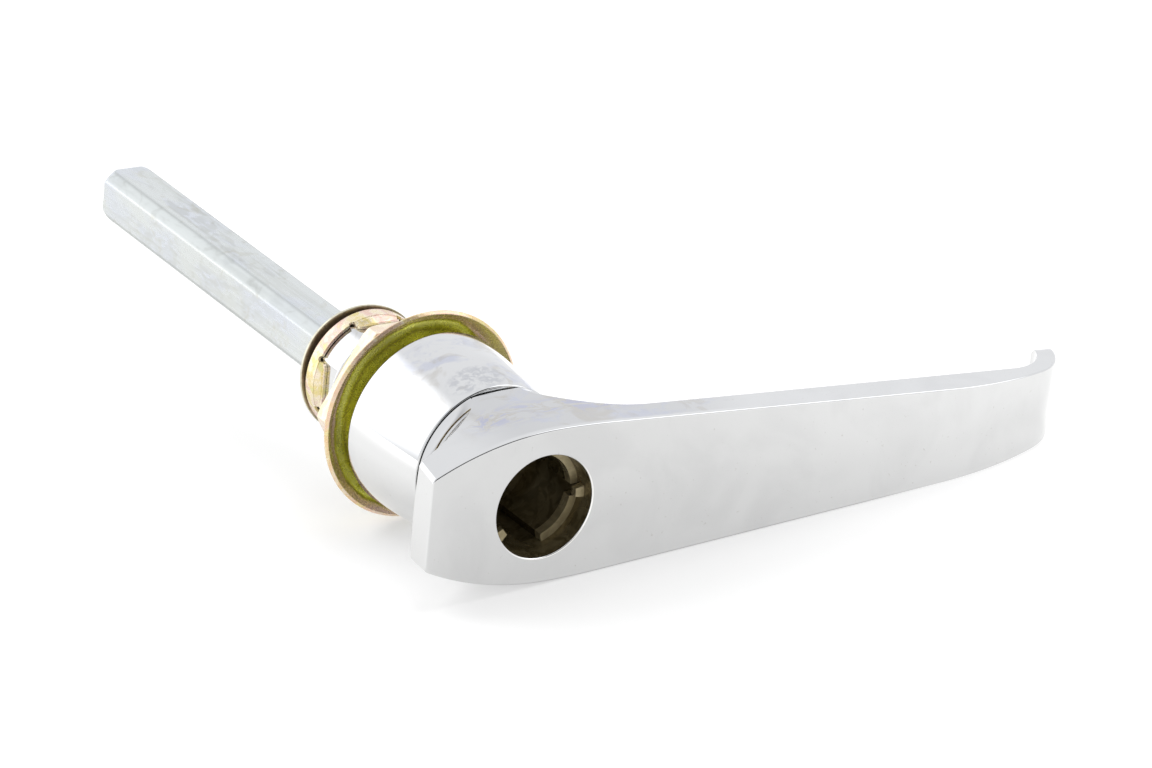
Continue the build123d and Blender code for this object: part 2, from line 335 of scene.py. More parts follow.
def full_turn(columns: int) -> Array:
    """Returns evenly spread angles over a full turn, without the last."""
    return np.linspace(0.0, 2.0 * math.pi, columns, endpoint=False)


def bar_radius(angles: Array, half_flat: float, corner: float, blend: float = 0.12) -> Array:
    """Distance to the wall of a square bar whose corners are turned round.

    Args:
        angles: Angles about the axis.
        half_flat: Half the distance across the flats.
        corner: Radius of the turned corners.
        blend: How softly a flat runs into a corner.

    Returns:
        The smaller of half_flat / max(|cos a|, |sin a|) and corner, rounded where they meet.
    """
    flat = half_flat / np.maximum(np.abs(np.cos(angles)), np.abs(np.sin(angles)))
    return smooth_min(flat, np.full_like(flat, corner), blend)


@dataclass
class LeverCasting:
    """Cast lever: flat front, hub that sweeps out into the grip, curled hook, lock bore and neck."""

    heel_reach: float = 22.9
    heel_half: float = 8.4
    heel_draft: float = 8.5
    heel_round: float = 0.8
    crown_offset: float = 2.0
    crown_half: float = 14.3
    crown_arc: float = 150.0
    taper_degrees: float = 3.83
    grip_thickness: float = 6.0
    front_edge: float = 0.4
    back_edge: float = 0.3
    curl_start: float = 84.0
    curl_radius: float = 70.0
    curl_degrees: float = 19.0
    hook_radius: float = 14.0
    hook_degrees: float = 56.0
    hook_thickness: float = 3.6
    hook_inner_radius: float = 10.9
    hook_inner_degrees: float = 71.0
    hook_lip: float = 1.2
    hook_corner: float = 3.0
    hub_radius: float = 14.85
    hub_depth: float = 17.4
    hub_edge: float = 0.25
    neck_radius: float = 12.0
    neck_end: float = -4.6
    neck_chamfer: float = 0.3
    groove_start: float = -15.6
    groove_end: float = -13.1
    groove_radius: float = 10.5
    stop_radius: float = 13.3
    stop_centre: float = 208.0
    stop_half: float = 8.0
    stop_end: float = -17.45
    seat_radius: float = 9.5
    seat_depth: float = 1.9
    bore_radius: float = 9.3
    bore_depth: float = 20.0
    bore_rim: float = 0.25
    ledge_depth: float = 4.3
    ledge_height: float = 2.0
    ledge_width: float = 1.4
    ledge_reach: float = 71.0
    ledge_notch: float = 7.5
    lug_depth: float = 2.2
    lug_height: float = 1.4
    lug_length: float = 1.7
    lug_half: float = 6.35
    lug_centres: tuple[float, ...] = (3.0, -142.0)
    slot_centre: float = -78.0
    slot_half: float = 12.1
    slot_depth: float = 1.6
    spindle_half: float = 5.02
    spindle_corner: float = 6.02
    front: float = -37.4
    grip_start: float = 27.0
    wall_rows: int = 13
    front_rows: int = 7
    back_rows: tuple[int, ...] = (3, 26, 5, 3)
    edge_rounds: int = 6
    side_start: float = 20.0
    side_blend: float = 6.0
    seat_taper: float = 1.2
    seat_rows: tuple[float, ...] = (0.8, 1.3, 1.6, 1.9)
    floor_rows: tuple[float, ...] = (9.0, 12.0, 15.0)
    step_depth: float = 0.16
    step_rows: float = 0.09
    step_degrees: float = 1.4
    step_columns: float = 0.7
    front_stations: tuple[int, int, int] = (24, 20, 16)
    columns_around: int = 232
    columns_across: int = 41
    heel_columns: tuple[float, float, int] = (18.2, 23.8, 34)
    crown_columns: tuple[float, float, int] = (10.0, 26.0, 24)

    def __post_init__(self) -> None:
        """Works out the sizes that follow from the driving ones."""
        rise = self.crown_half - self.heel_half
        run = self.crown_offset + self.heel_reach
        self.heel_arc = (run**2 + rise**2) / (2 * rise)
        self.taper = math.radians(self.taper_degrees)
        self.flank_x = self.crown_offset + self.crown_arc * math.sin(self.taper)
        self.flank_z = self.crown_half - self.crown_arc * (1 - math.cos(self.taper))
        self.hub_back = self.front + self.hub_depth
        self.sweep = self.hub_depth - self.grip_thickness
        self.foot = self.hub_radius + self.sweep
        self.grip_back = self.front + self.grip_thickness
        self.floor = self.front + self.bore_depth
        self.plane_run = self.hub_radius - self.neck_radius
        self.sweep_run = self.plane_run + self.sweep * math.pi / 2
        self.start_width = float(self.outline(np.array(self.grip_start)))

    def outline(self, x: Array) -> Array:
        """Half width of the grip past the crown: the shoulder's arc, then the straight flank.

        Args:
            x: Places along the lever.

        Returns:
            c - R + sqrt(R^2 - (x - a)^2) up to the flank's start, and a line from there.
        """
        inside = np.clip(self.crown_arc**2 - (x - self.crown_offset) ** 2, 0.0, None)
        shoulder = self.crown_half - self.crown_arc + np.sqrt(inside)
        flank = self.flank_z - (x - self.flank_x) * math.tan(self.taper)
        return np.where(x < self.flank_x, shoulder, flank)

    def ray_to_circle(self, cos: Array, sin: Array, radius: float) -> Array:
        """Distance along rays to the circle of a radius whose top is the crown.

        The circle's centre is (a, c), so the distance is b + sqrt(b^2 - a^2 - c^2 + radius^2), where b
        = a cos + c sin.

        Args:
            cos: Cosines of the rays' angles.
            sin: Their sines, all positive.
            radius: The circle's radius.

        Returns:
            The distances from the axis.
        """
        centre = self.crown_half - radius
        b = self.crown_offset * cos + centre * sin
        return b + np.sqrt(b**2 - self.crown_offset**2 - centre**2 + radius**2)

    def reach(self, angles: Array, place: Array) -> Array:
        """Distance from the axis to the outline, along rays and at places along the axis.

        Args:
            angles: Angles of the rays, outside the grip.
            place: Places along the axis, on which the heel's drafted end depends.

        Returns:
            The smaller of the distances to the heel's plane and to the outline's arcs, rounded.
        """
        cos = np.cos(angles)
        sin = np.abs(np.sin(angles))
        back = self.ray_to_circle(cos, sin, self.heel_arc)
        shoulder = self.ray_to_circle(cos, sin, self.crown_arc)
        slope = math.tan(self.taper)
        flank = (self.flank_z + self.flank_x * slope) / (sin + slope * cos)
        side = np.where(shoulder * cos < self.flank_x, shoulder, flank)
        side = np.where(back * cos < self.crown_offset, back, side)
        heel = self.heel_reach - (place - self.front) * math.tan(math.radians(self.heel_draft))
        plane = np.where(cos < -0.3, heel / np.maximum(-cos, 0.3), 4.0 * self.heel_reach)
        side, plane = np.broadcast_arrays(side, plane)
        return smooth_min(plane, side, self.heel_round)

    def ray_angles(self) -> tuple[Array, Array]:
        """Angles of the mesh's columns.

        They are even, with more at the heel's corners, beside the crown and at the bore's steps.

        Returns:
            The angles across the grip, from its lower to its upper edge, and those round the rest.
        """
        limit = math.atan2(self.start_width, self.grip_start)
        steps = [-self.ledge_reach, -self.ledge_notch, self.ledge_notch, self.ledge_reach]
        notches = [(centre, self.lug_half) for centre in self.lug_centres]
        notches.append((self.slot_centre, self.slot_half))
        for centre, half in notches:
            steps += [centre - half, centre + half]
        steps += [self.stop_centre - self.stop_half, self.stop_centre + self.stop_half]
        pair = np.radians([-self.step_columns, self.step_columns])
        edges = (np.radians(np.array(steps))[:, None] + pair[None, :]).reshape(-1)
        corner = np.radians(np.linspace(*self.heel_columns))
        beside = np.radians(np.linspace(*self.crown_columns))
        quarter = math.pi / 2
        full = [
            np.linspace(limit, 2 * math.pi - limit, self.columns_around),
            math.pi - corner,
            math.pi + corner,
            quarter - beside,
            quarter + beside,
            3 * quarter - beside,
            3 * quarter + beside,
            edges % (2 * math.pi),
        ]
        around = np.unique(np.concatenate(full))
        around = around[(around >= limit) & (around <= 2 * math.pi - limit)]
        across = np.linspace(-limit, limit, self.columns_across)
        across = np.concatenate([across, angle_gap(edges, 0.0)])
        across = np.unique(across[np.abs(across) <= limit])
        return self.thin_out(across), self.thin_out(around)

    @staticmethod
    def thin_out(angles: Array) -> Array:
        """Drops angles that lie within a twentieth of a degree of the one before.

        Args:
            angles: Rising angles.

        Returns:
            Those that are kept, with both ends.
        """
        keep = np.concatenate([[True], np.diff(angles) > math.radians(0.05)])
        keep[-1] = True
        return angles[keep]

    def back_profile(self, run: Array) -> tuple[Array, Array, Array, Array]:
        """Section of the hub's back, by the distance run along it from the neck.

        It is a flat ring, a rounded edge, a hollow arc of the sweep's radius and the grip's flat back.

        Args:
            run: Distances along the section.

        Returns:
            Distance from the axis, place, and the normal's two parts.
        """
        turn = np.clip((run - self.plane_run) / self.sweep, 0.0, math.pi / 2)
        radius = self.foot - self.sweep * np.cos(turn)
        radius = radius + np.clip(run - self.sweep_run, 0.0, None)
        radius = np.where(run < self.plane_run, self.neck_radius + run, radius)
        place = self.hub_back - self.sweep * np.sin(turn)
        out = np.where(run < self.plane_run, 0.0, np.cos(turn))
        up = np.where(run < self.plane_run, 1.0, np.sin(turn))
        share = np.clip((run - self.plane_run) / (2 * self.hub_edge) + 0.5, 0.0, 1.0)
        near = np.abs(run - self.plane_run) < self.hub_edge
        end_turn = self.hub_edge / self.sweep
        end = (self.foot - self.sweep * math.cos(end_turn), self.hub_back - self.sweep * math.sin(end_turn))
        start = self.hub_radius - self.hub_edge
        corner = 2 * share * (1 - share)
        curve = (1 - share) ** 2 * start + corner * self.hub_radius + share**2 * end[0]
        radius = np.where(near, curve, radius)
        place = np.where(near, (1 - share**2) * self.hub_back + share**2 * end[1], place)
        out = np.where(near, share * math.cos(end_turn), out)
        up = np.where(near, 1 - share + share * math.sin(end_turn), up)
        length = np.hypot(out, up)
        return radius, place, out / length, up / length

    def back_run(self, radius: Array) -> Array:
        """Distance run along the back's section, the inverse of back_profile's radius.

        Args:
            radius: Distances from the axis.

        Returns:
            The run, in each of the ring, the hollow arc and the flat back.
        """
        inside = np.clip((self.foot - radius) / self.sweep, -1.0, 1.0)
        swept = self.plane_run + self.sweep * np.arccos(np.clip(inside, 0.0, 1.0))
        run = np.where(radius > self.foot, self.sweep_run + radius - self.foot, swept)
        return np.where(radius < self.hub_radius, radius - self.neck_radius, run)

    def tip_arcs(self) -> list[tuple[Array, Array]]:
        """Path of the grip's section from its front at the grip's start, round the tip, to its back.

        An arc that starts at P with heading h turns about P + r n, where n is square to h.

        Returns:
            Runs of points and outward normals, each (n, 2), as X and Y.
        """
        runs = []
        spot = np.array([self.grip_start, self.front])
        ahead = 0.0

        def straight(length: float, segments: int) -> None:
            """Adds a straight run.

            Args:
                length: Its length.
                segments: How many parts it has.
            """
            nonlocal spot
            step = np.array([math.cos(ahead), math.sin(ahead)])
            points = spot + np.linspace(0.0, length, segments + 1)[:, None] * step
            side = np.array([step[1], -step[0]])
            runs.append((points, np.broadcast_to(side, points.shape)))
            spot = points[-1]

        def bend(radius: float, degrees: float, segments: int) -> None:
            """Adds an arc, which bends to the left for positive degrees.

            Args:
                radius: Its radius.
                degrees: How far it turns.
                segments: How many parts it has.
            """
            nonlocal spot, ahead
            turn = math.radians(degrees)
            way = math.copysign(1.0, turn)
            left = np.array([-math.sin(ahead), math.cos(ahead)])
            centre = spot + way * radius * left
            heading = ahead + np.linspace(0.0, turn, segments + 1)
            side = np.stack([np.sin(heading), -np.cos(heading)], axis=1)
            points = centre + way * radius * side
            runs.append((points, side))
            spot = points[-1]
            ahead += turn

        flat, curl, hook = self.front_stations
        straight(self.curl_start - self.grip_start, flat)
        bend(self.curl_radius, self.curl_degrees, curl)
        bend(self.hook_radius, self.hook_degrees, hook)
        nose = (self.wall_rows - 1) // 2
        bend(self.hook_lip, 90.0, nose)
        straight(self.hook_thickness - 2 * self.hook_lip, 1)
        bend(self.hook_lip, 90.0, nose)
        bend(self.hook_inner_radius, -self.hook_inner_degrees, hook)
        finish = np.array([self.grip_start, self.grip_back])
        points = spot + np.linspace(0.0, 1.0, flat + curl + 1)[:, None] * (finish - spot)
        runs.append((points, np.broadcast_to([0.0, 1.0], points.shape)))
        return runs

    def half_width(self, x: Array, y: Array, hook_end: float) -> tuple[Array, Array]:
        """Half width of the grip, which the hook's rounded corners narrow at its end.

        Args:
            x: Places along the lever.
            y: Places along the axis.
            hook_end: Place of the hook's end.

        Returns:
            The half width, and the wall's normal on the +Z side.
        """
        over = np.clip(y - (hook_end - self.hook_corner), 0.0, self.hook_corner * 0.9999)
        depth = np.sqrt(self.hook_corner**2 - over**2)
        width = self.outline(x) - self.hook_corner + depth
        slope = np.full_like(width, math.tan(self.taper))
        return width, unit(np.stack([slope, over / depth, np.ones_like(width)], axis=-1))

    def bore_wall(self, angles: Array, place: Array) -> Array:
        """Radius of the bore's wall: a cylinder less the notched ledge and lugs, plus the cam's slot.

        Each of them is a product of two bands, one over the angle and one over the depth.

        Args:
            angles: Angles about the axis.
            place: Places along it.

        Returns:
            The radius at each angle and place.
        """
        depth = place - self.front
        soft = math.radians(self.step_degrees)
        ledge = np.zeros(np.broadcast(angles, place).shape)
        for way in (-1.0, 1.0):
            gap = way * angle_gap(angles, 0.0)
            ledge = ledge + plateau(gap, math.radians(self.ledge_notch), math.radians(self.ledge_reach), soft)
        below = self.ledge_depth + self.ledge_height
        ledge = ledge * plateau(depth, self.ledge_depth, below, self.step_depth)
        seat = plateau(depth, -self.seat_depth, self.seat_depth, self.seat_taper)
        radius = self.bore_radius + (self.seat_radius - self.bore_radius) * seat - self.ledge_width * ledge
        for centre in self.lug_centres:
            gap = angle_gap(angles, math.radians(centre))
            half = math.radians(self.lug_half)
            lug = plateau(gap, -half, half, soft)
            lug = lug * plateau(depth, self.lug_depth, self.lug_depth + self.lug_height, self.step_depth)
            radius = radius - self.lug_length * lug
        gap = angle_gap(angles, math.radians(self.slot_centre))
        half = math.radians(self.slot_half)
        slot = plateau(gap, -half, half, soft)
        slot = slot * plateau(depth, below, 2 * self.bore_depth, self.step_depth)
        return radius + self.slot_depth * slot

    def add_bore_and_neck(self, skin: Skin, angles: Array) -> None:
        """Adds the bore's rim and inside, the spindle's hole and the neck, as rows about the axis.

        Args:
            skin: The lever's skin.
            angles: Angles of all columns.
        """
        ones = np.ones_like(angles)
        mouth = self.seat_radius + self.bore_rim
        first = about_axis(mouth * ones, self.front * ones, angles)
        edge = about_axis(self.seat_radius * ones, self.front * ones, angles)
        last = about_axis(self.seat_radius * ones, (self.front + self.bore_rim) * ones, angles)
        inward = about_axis(-ones, 0 * ones, angles)
        rim = corner_strip(first, edge, last, np.array([0.0, -1.0, 0.0]), inward)
        skin.add(*rim, ring=True)
        lug_end = self.lug_depth + self.lug_height
        ledge_end = self.ledge_depth + self.ledge_height
        depths = [self.bore_rim, *self.seat_rows]
        for step in (self.lug_depth, lug_end, self.ledge_depth, ledge_end):
            depths += [step - self.step_rows, step + self.step_rows]
        depths = np.array([*depths, *self.floor_rows, self.bore_depth])
        place = (self.front + depths)[:, None]
        wall = self.bore_wall(angles[None, :], place)
        radius, place = np.broadcast_arrays(wall, place)
        skin.add(about_axis(radius, place, angles), facing=about_axis(-ones, 0 * ones, angles), ring=True)
        hole = bar_radius(angles, self.spindle_half, self.spindle_corner)
        stop = plateau(
            angle_gap(angles, math.radians(self.stop_centre)),
            -math.radians(self.stop_half),
            math.radians(self.stop_half),
            math.radians(self.step_degrees),
        )
        stop_wall = self.neck_radius + (self.stop_radius - self.neck_radius) * stop
        self.ring_start = stop_wall
        rows = [
            (self.bore_wall(angles, np.array(self.floor)), self.floor),
            (hole, self.floor),
            (hole, self.neck_end),
            (self.neck_radius - self.neck_chamfer, self.neck_end),
            (self.neck_radius, self.neck_end - self.neck_chamfer),
            (self.neck_radius, self.groove_end),
            (self.groove_radius, self.groove_end),
            (self.groove_radius, self.groove_start),
            (self.neck_radius, self.groove_start),
            (self.neck_radius, self.stop_end),
            (stop_wall, self.stop_end),
            (stop_wall, self.hub_back),
        ]
        add_rings(skin, rows, angles, -1.0)

    def add_hub(self, skin: Skin, across: Array, around: Array) -> None:
        """Adds the hub: front ring, rounded rims, outer wall and hollow back.

        Args:
            skin: The lever's skin.
            across: Angles of the columns that run into the grip.
            around: Angles of the other columns, with the first and last shared.
        """
        share = np.tan(across) / math.tan(across[-1])
        start_z = share * (self.start_width - self.front_edge)
        place = np.full_like(around, self.front)
        radius = self.reach(around, place)
        outline = np.stack([radius * np.cos(around), radius * np.sin(around)], axis=1)
        along = np.gradient(outline, axis=0)
        inward = -unit(np.stack([along[:, 1], -along[:, 0]], axis=1))
        beyond = outline[:, 0] > self.crown_offset
        inward[beyond] = np.stack([0 * around, -np.sign(outline[:, 1])], axis=1)[beyond]
        inner = outline + inward * self.front_edge
        grip_edge = np.stack([np.full_like(start_z, self.grip_start), start_z], axis=1)
        outer = np.concatenate([grip_edge, inner[1:-1]])
        angles = np.concatenate([across, around[1:-1]])
        mouth = (self.seat_radius + self.bore_rim) * np.stack([np.cos(angles), np.sin(angles)], axis=1)
        mix = np.linspace(0.0, 1.0, self.front_rows)[:, None, None]
        plan = (1 - mix) * mouth + mix * outer
        front = np.stack([plan[..., 0], np.full(plan.shape[:2], self.front), plan[..., 1]], axis=-1)
        skin.add(front, np.broadcast_to([0.0, -1.0, 0.0], front.shape), ring=True)

        edge_place = np.full_like(around, self.hub_back)
        for _ in range(self.edge_rounds):
            edge_radius = self.reach(around, edge_place)
            edge_place = self.back_profile(self.back_run(edge_radius))[1]
        low = self.front + self.front_edge
        high = edge_place - self.back_edge
        rows = np.linspace(0.0, 1.0, self.wall_rows + 1)[:, None]
        wall_place = low + rows * (high - low)
        wall_radius = self.reach(around[None, :], wall_place)
        wall = about_axis(wall_radius, wall_place, around[None, :])
        normals = surface_normals(wall)
        out = about_axis(np.ones_like(around), 0 * around, around)
        if np.sum(normals * out) < 0.0:
            normals = -normals
        skin.add(wall, normals)
        first = np.stack([inner[:, 0], place, inner[:, 1]], axis=1)
        edge = np.stack([outline[:, 0], place, outline[:, 1]], axis=1)
        skin.add(*corner_strip(first, edge, wall[0], np.array([0.0, -1.0, 0.0]), normals[0]))

        edge_run = self.back_run(edge_radius)
        start_run = edge_run - self.back_edge
        rim_radius = self.back_profile(start_run)[0]
        by_ray = rim_radius[:, None] * np.stack([np.cos(around), np.sin(around)], axis=1)
        edge_plan = edge_radius[:, None] * np.stack([np.cos(around), np.sin(around)], axis=1)
        by_side = edge_plan - np.stack([0 * around, np.sign(np.sin(around))], axis=1) * self.back_edge
        near = smooth_step((edge_plan[:, 0] - self.side_start) / self.side_blend)[:, None]
        rim_plan = near * by_side + (1 - near) * by_ray
        back_z = share * (self.start_width - self.back_edge)
        back_edge = np.stack([np.full_like(back_z, self.grip_start), back_z], axis=1)
        rim_all = np.concatenate([back_edge, rim_plan[1:-1]])
        flat_run = self.back_run(np.hypot(rim_all[:, 0], rim_all[:, 1]))
        side_run = np.where(near[1:-1, 0] > 0, flat_run[len(across) :], start_run[1:-1])
        run = np.concatenate([flat_run[: len(across)], side_run])
        rim_angle = np.arctan2(rim_all[:, 1], rim_all[:, 0])
        begin = self.ring_start - self.neck_radius
        stops = [run]
        for limit in (self.sweep_run, self.plane_run + self.hub_edge, self.plane_run - self.hub_edge):
            stops.append(np.minimum(run, limit))
        stops.append(begin)
        parts = []
        for here, there, count in zip(stops[:-1], stops[1:], self.back_rows):
            mix = np.linspace(0.0, 1.0, count + 1)[:, None]
            parts.append((1 - mix) * here + mix * there)
        runs = np.concatenate(parts)
        done = (run - runs) / np.maximum(run - begin, 1e-6)
        swing = angle_gap(angles, 0.0) - rim_angle
        swing = (swing + math.pi) % (2 * math.pi) - math.pi
        turn = rim_angle + swing * done
        radius, place, out_part, up_part = self.back_profile(runs)
        back = about_axis(radius, place, turn)
        skin.add(back, about_axis(out_part, up_part, turn), ring=True)

        rim = np.concatenate([back[0][len(across) - 1 :], back[0][:1]])
        rim_normal = about_axis(out_part, up_part, turn)[0]
        rim_normal = np.concatenate([rim_normal[len(across) - 1 :], rim_normal[:1]])
        edge = np.stack([edge_plan[:, 0], edge_place, edge_plan[:, 1]], axis=1)
        skin.add(*corner_strip(wall[-1], edge, rim, normals[-1], rim_normal))

    def add_grip(self, skin: Skin, across: Array) -> None:
        """Adds the grip and its hook as a section carried across the lever.

        Each point (x, y) of the path gives a row from -w to +w, where w is the half width there less
        the edge's rounding. The side walls join the front's points to the back's, at z = w(x, y).

        Args:
            skin: The lever's skin.
            across: Angles of the columns, whose tangents give their shares of the width.
        """
        share = np.tan(across) / math.tan(across[-1])
        runs = self.tip_arcs()
        hook_end = runs[4][0][-1][1]
        edges = np.linspace(self.front_edge, self.back_edge, 4)
        edges = np.concatenate([np.full(3, self.front_edge), edges, np.full(2, self.back_edge)])
        seats: list[Array] = []
        for i, (points, sides) in enumerate(runs):
            size = np.linspace(edges[i], edges[i + 1], len(points))[:, None]
            width, _ = self.half_width(points[:, 0], points[:, 1], hook_end)
            columns = share[None, :] * (width[:, None] - size)
            x, y, z = np.broadcast_arrays(points[:, :1], points[:, 1:], columns)
            normals = np.stack([sides[:, 0], sides[:, 1], 0 * sides[:, 0]], axis=1)
            grid = np.stack([x, y, z], axis=-1)
            skin.add(grid, np.broadcast_to(normals[:, None, :], grid.shape))
            seat = points - size * sides
            if seats:
                seat[0] = seats[-1][-1]
            seat_width, seat_normal = self.half_width(seat[:, 0], seat[:, 1], hook_end)
            for way in (-1.0, 1.0):
                flip = np.array([1.0, 1.0, way])
                first = np.stack([points[:, 0], points[:, 1], way * (width - size[:, 0])], axis=1)
                edge = np.stack([points[:, 0], points[:, 1], way * width], axis=1)
                last = np.stack([seat[:, 0], seat[:, 1], way * seat_width], axis=1)
                skin.add(*corner_strip(first, edge, last, normals, seat_normal * flip))
            seats.append(seat)
        self.add_grip_walls(skin, seats, hook_end)

    def add_grip_walls(self, skin: Skin, seats: list[Array], hook_end: float) -> None:
        """Adds the grip's two side walls inside the rounded edges.

        Args:
            skin: The lever's skin.
            seats: The path's points, moved in by the edge's rounding, run by run.
            hook_end: Place of the hook's end.
        """
        front = np.concatenate([seats[0], seats[1][1:], seats[2][1:]])
        nose = np.concatenate([seats[3], seats[4][1:], seats[5][1:]])
        back = np.concatenate([seats[6], seats[7][1:]])[::-1]
        mix = np.linspace(0.0, 1.0, self.wall_rows + 1)[:, None, None]
        body = (1 - mix) * front + mix * back
        chord = body[:, -1]
        deep = np.linspace(0.0, 1.0, 4)[:, None, None]
        cap = (1 - deep) * chord + deep * nose
        for plan in (body, cap):
            width, normal = self.half_width(plan[..., 0], plan[..., 1], hook_end)
            for way in (-1.0, 1.0):
                points = np.stack([plan[..., 0], plan[..., 1], way * width], axis=-1)
                skin.add(points, normal * np.array([1.0, 1.0, way]))

    def build(self) -> bpy.types.Object:
        """Returns the casting's object."""
        skin = Skin("lever_casting")
        across, around = self.ray_angles()
        angles = np.concatenate([across, around[1:-1]])
        self.add_bore_and_neck(skin, angles)
        self.add_hub(skin, across, around)
        self.add_grip(skin, across)
        return skin.build()


@dataclass
class HousingCasting:
    """Cast housing: tapered body, threaded barrel with four flats at its end, and the neck's pocket."""

    front: float = -19.65
    front_radius: float = 14.95
    waist_radius: float = 16.1
    back_radius: float = 16.8
    edge: float = 0.4
    crest: float = 12.0
    thread_depth: float = 0.9
    thread_pitch: float = 1.5
    thread_length: float = 15.0
    thread_chamfer: float = 0.5
    thread_rows_per_turn: int = 14
    end_radius: float = 11.0
    half_flat: float = 10.0
    length: float = 23.1
    bush_radius: float = 8.55
    bush_length: float = 6.0
    flange_radius: float = 9.75
    flange_depth: float = 1.2
    shaft_radius: float = 6.05
    pocket_radius: float = 12.05
    pocket_floor: float = -3.5
    stop_radius: float = 13.6
    stop_floor: float = -17.15
    stop_start: float = 196.5
    stop_finish: float = 309.5
    stop_soft: float = 2.0
    edge_steps: int = 5
    flare_steps: int = 26
    flare_gap: float = 0.05
    flank_slope: float = 1.5
    crest_share: float = 0.25
    thread_start: float = 0.7
    thread_finish: float = 0.9
    flat_blend: float = 0.05
    end_chamfer: float = 0.3
    columns: int = 256

    def thread(self, angles: Array, place: Array) -> Array:
        """Radius of a right-hand thread's surface.

        The phase y / pitch - a / 2 pi, folded to 0..1..0, is cut off into a flat crest and a flat root,
        and its depth fades in and out over half a turn at the thread's ends.

        Args:
            angles: Angles about the axis.
            place: Places along it.

        Returns:
            The radius at each angle and place.
        """
        phase = (place / self.thread_pitch - angles / (2 * math.pi)) % 1.0
        fold = 1.0 - np.abs(2.0 * phase - 1.0)
        groove = np.clip(fold * self.flank_slope - self.crest_share, 0.0, 1.0)
        fade = smooth_step(place / self.thread_start)
        fade = fade * smooth_step((self.thread_length - place) / self.thread_finish)
        end = np.clip(place - (self.thread_length - self.thread_chamfer), 0.0, None)
        return np.minimum(self.crest - self.thread_depth * groove * fade, self.crest - end)

    def build(self) -> bpy.types.Object:
        """Returns the housing's object."""
        skin = Skin("housing_casting")
        angles = full_turn(self.columns)
        ones = np.ones_like(angles)
        middle = self.front / 2
        bulge = 2 * self.waist_radius - (self.front_radius + self.back_radius) / 2
        outer = [
            Corner(self.pocket_radius, self.front),
            Corner(self.front_radius, self.front, self.edge, self.edge_steps),
            Corner(bulge, middle, -middle - self.edge - self.flare_gap, self.flare_steps),
            Corner(self.back_radius, 0.0, self.edge, self.edge_steps),
            Corner(self.crest, 0.0),
        ]
        runs = section_runs(outer, closed=False)
        revolve(skin, runs[1:], angles)
        centre = math.radians((self.stop_start + self.stop_finish) / 2)
        half = math.radians((self.stop_finish - self.stop_start) / 2)
        recess = plateau(angle_gap(angles, centre), -half, half, math.radians(self.stop_soft))
        mouth = self.pocket_radius + (self.stop_radius - self.pocket_radius) * recess
        start = runs[0][0][1][0]
        add_rings(skin, [(mouth, self.front), (start, self.front)], angles)
        turns = self.thread_length / self.thread_pitch
        place = np.linspace(0.0, self.thread_length, int(turns * self.thread_rows_per_turn) + 1)[:, None]
        radius = self.thread(angles[None, :], place)
        radius, place = np.broadcast_arrays(radius, place)
        out = about_axis(ones, 0 * ones, angles)
        skin.add(about_axis(radius, place, angles), facing=out, ring=True, smooth=True)
        wall = bar_radius(angles, self.half_flat, self.end_radius, self.flat_blend)
        bush_start = self.length - self.bush_length
        flange_start = self.length - self.flange_depth
        rows = [
            (radius[-1], self.thread_length),
            (wall, self.thread_length),
            (wall, self.length - self.end_chamfer),
            (wall - self.end_chamfer, self.length),
            (self.flange_radius, self.length),
            (self.flange_radius, flange_start),
            (self.bush_radius, flange_start),
            (self.bush_radius, bush_start),
            (self.shaft_radius, bush_start),
            (self.shaft_radius, self.pocket_floor),
            (self.pocket_radius, self.pocket_floor),
            (self.pocket_radius, self.stop_floor),
            (mouth, self.stop_floor),
            (mouth, self.front),
        ]
        add_rings(skin, rows, angles)
        return skin.build()


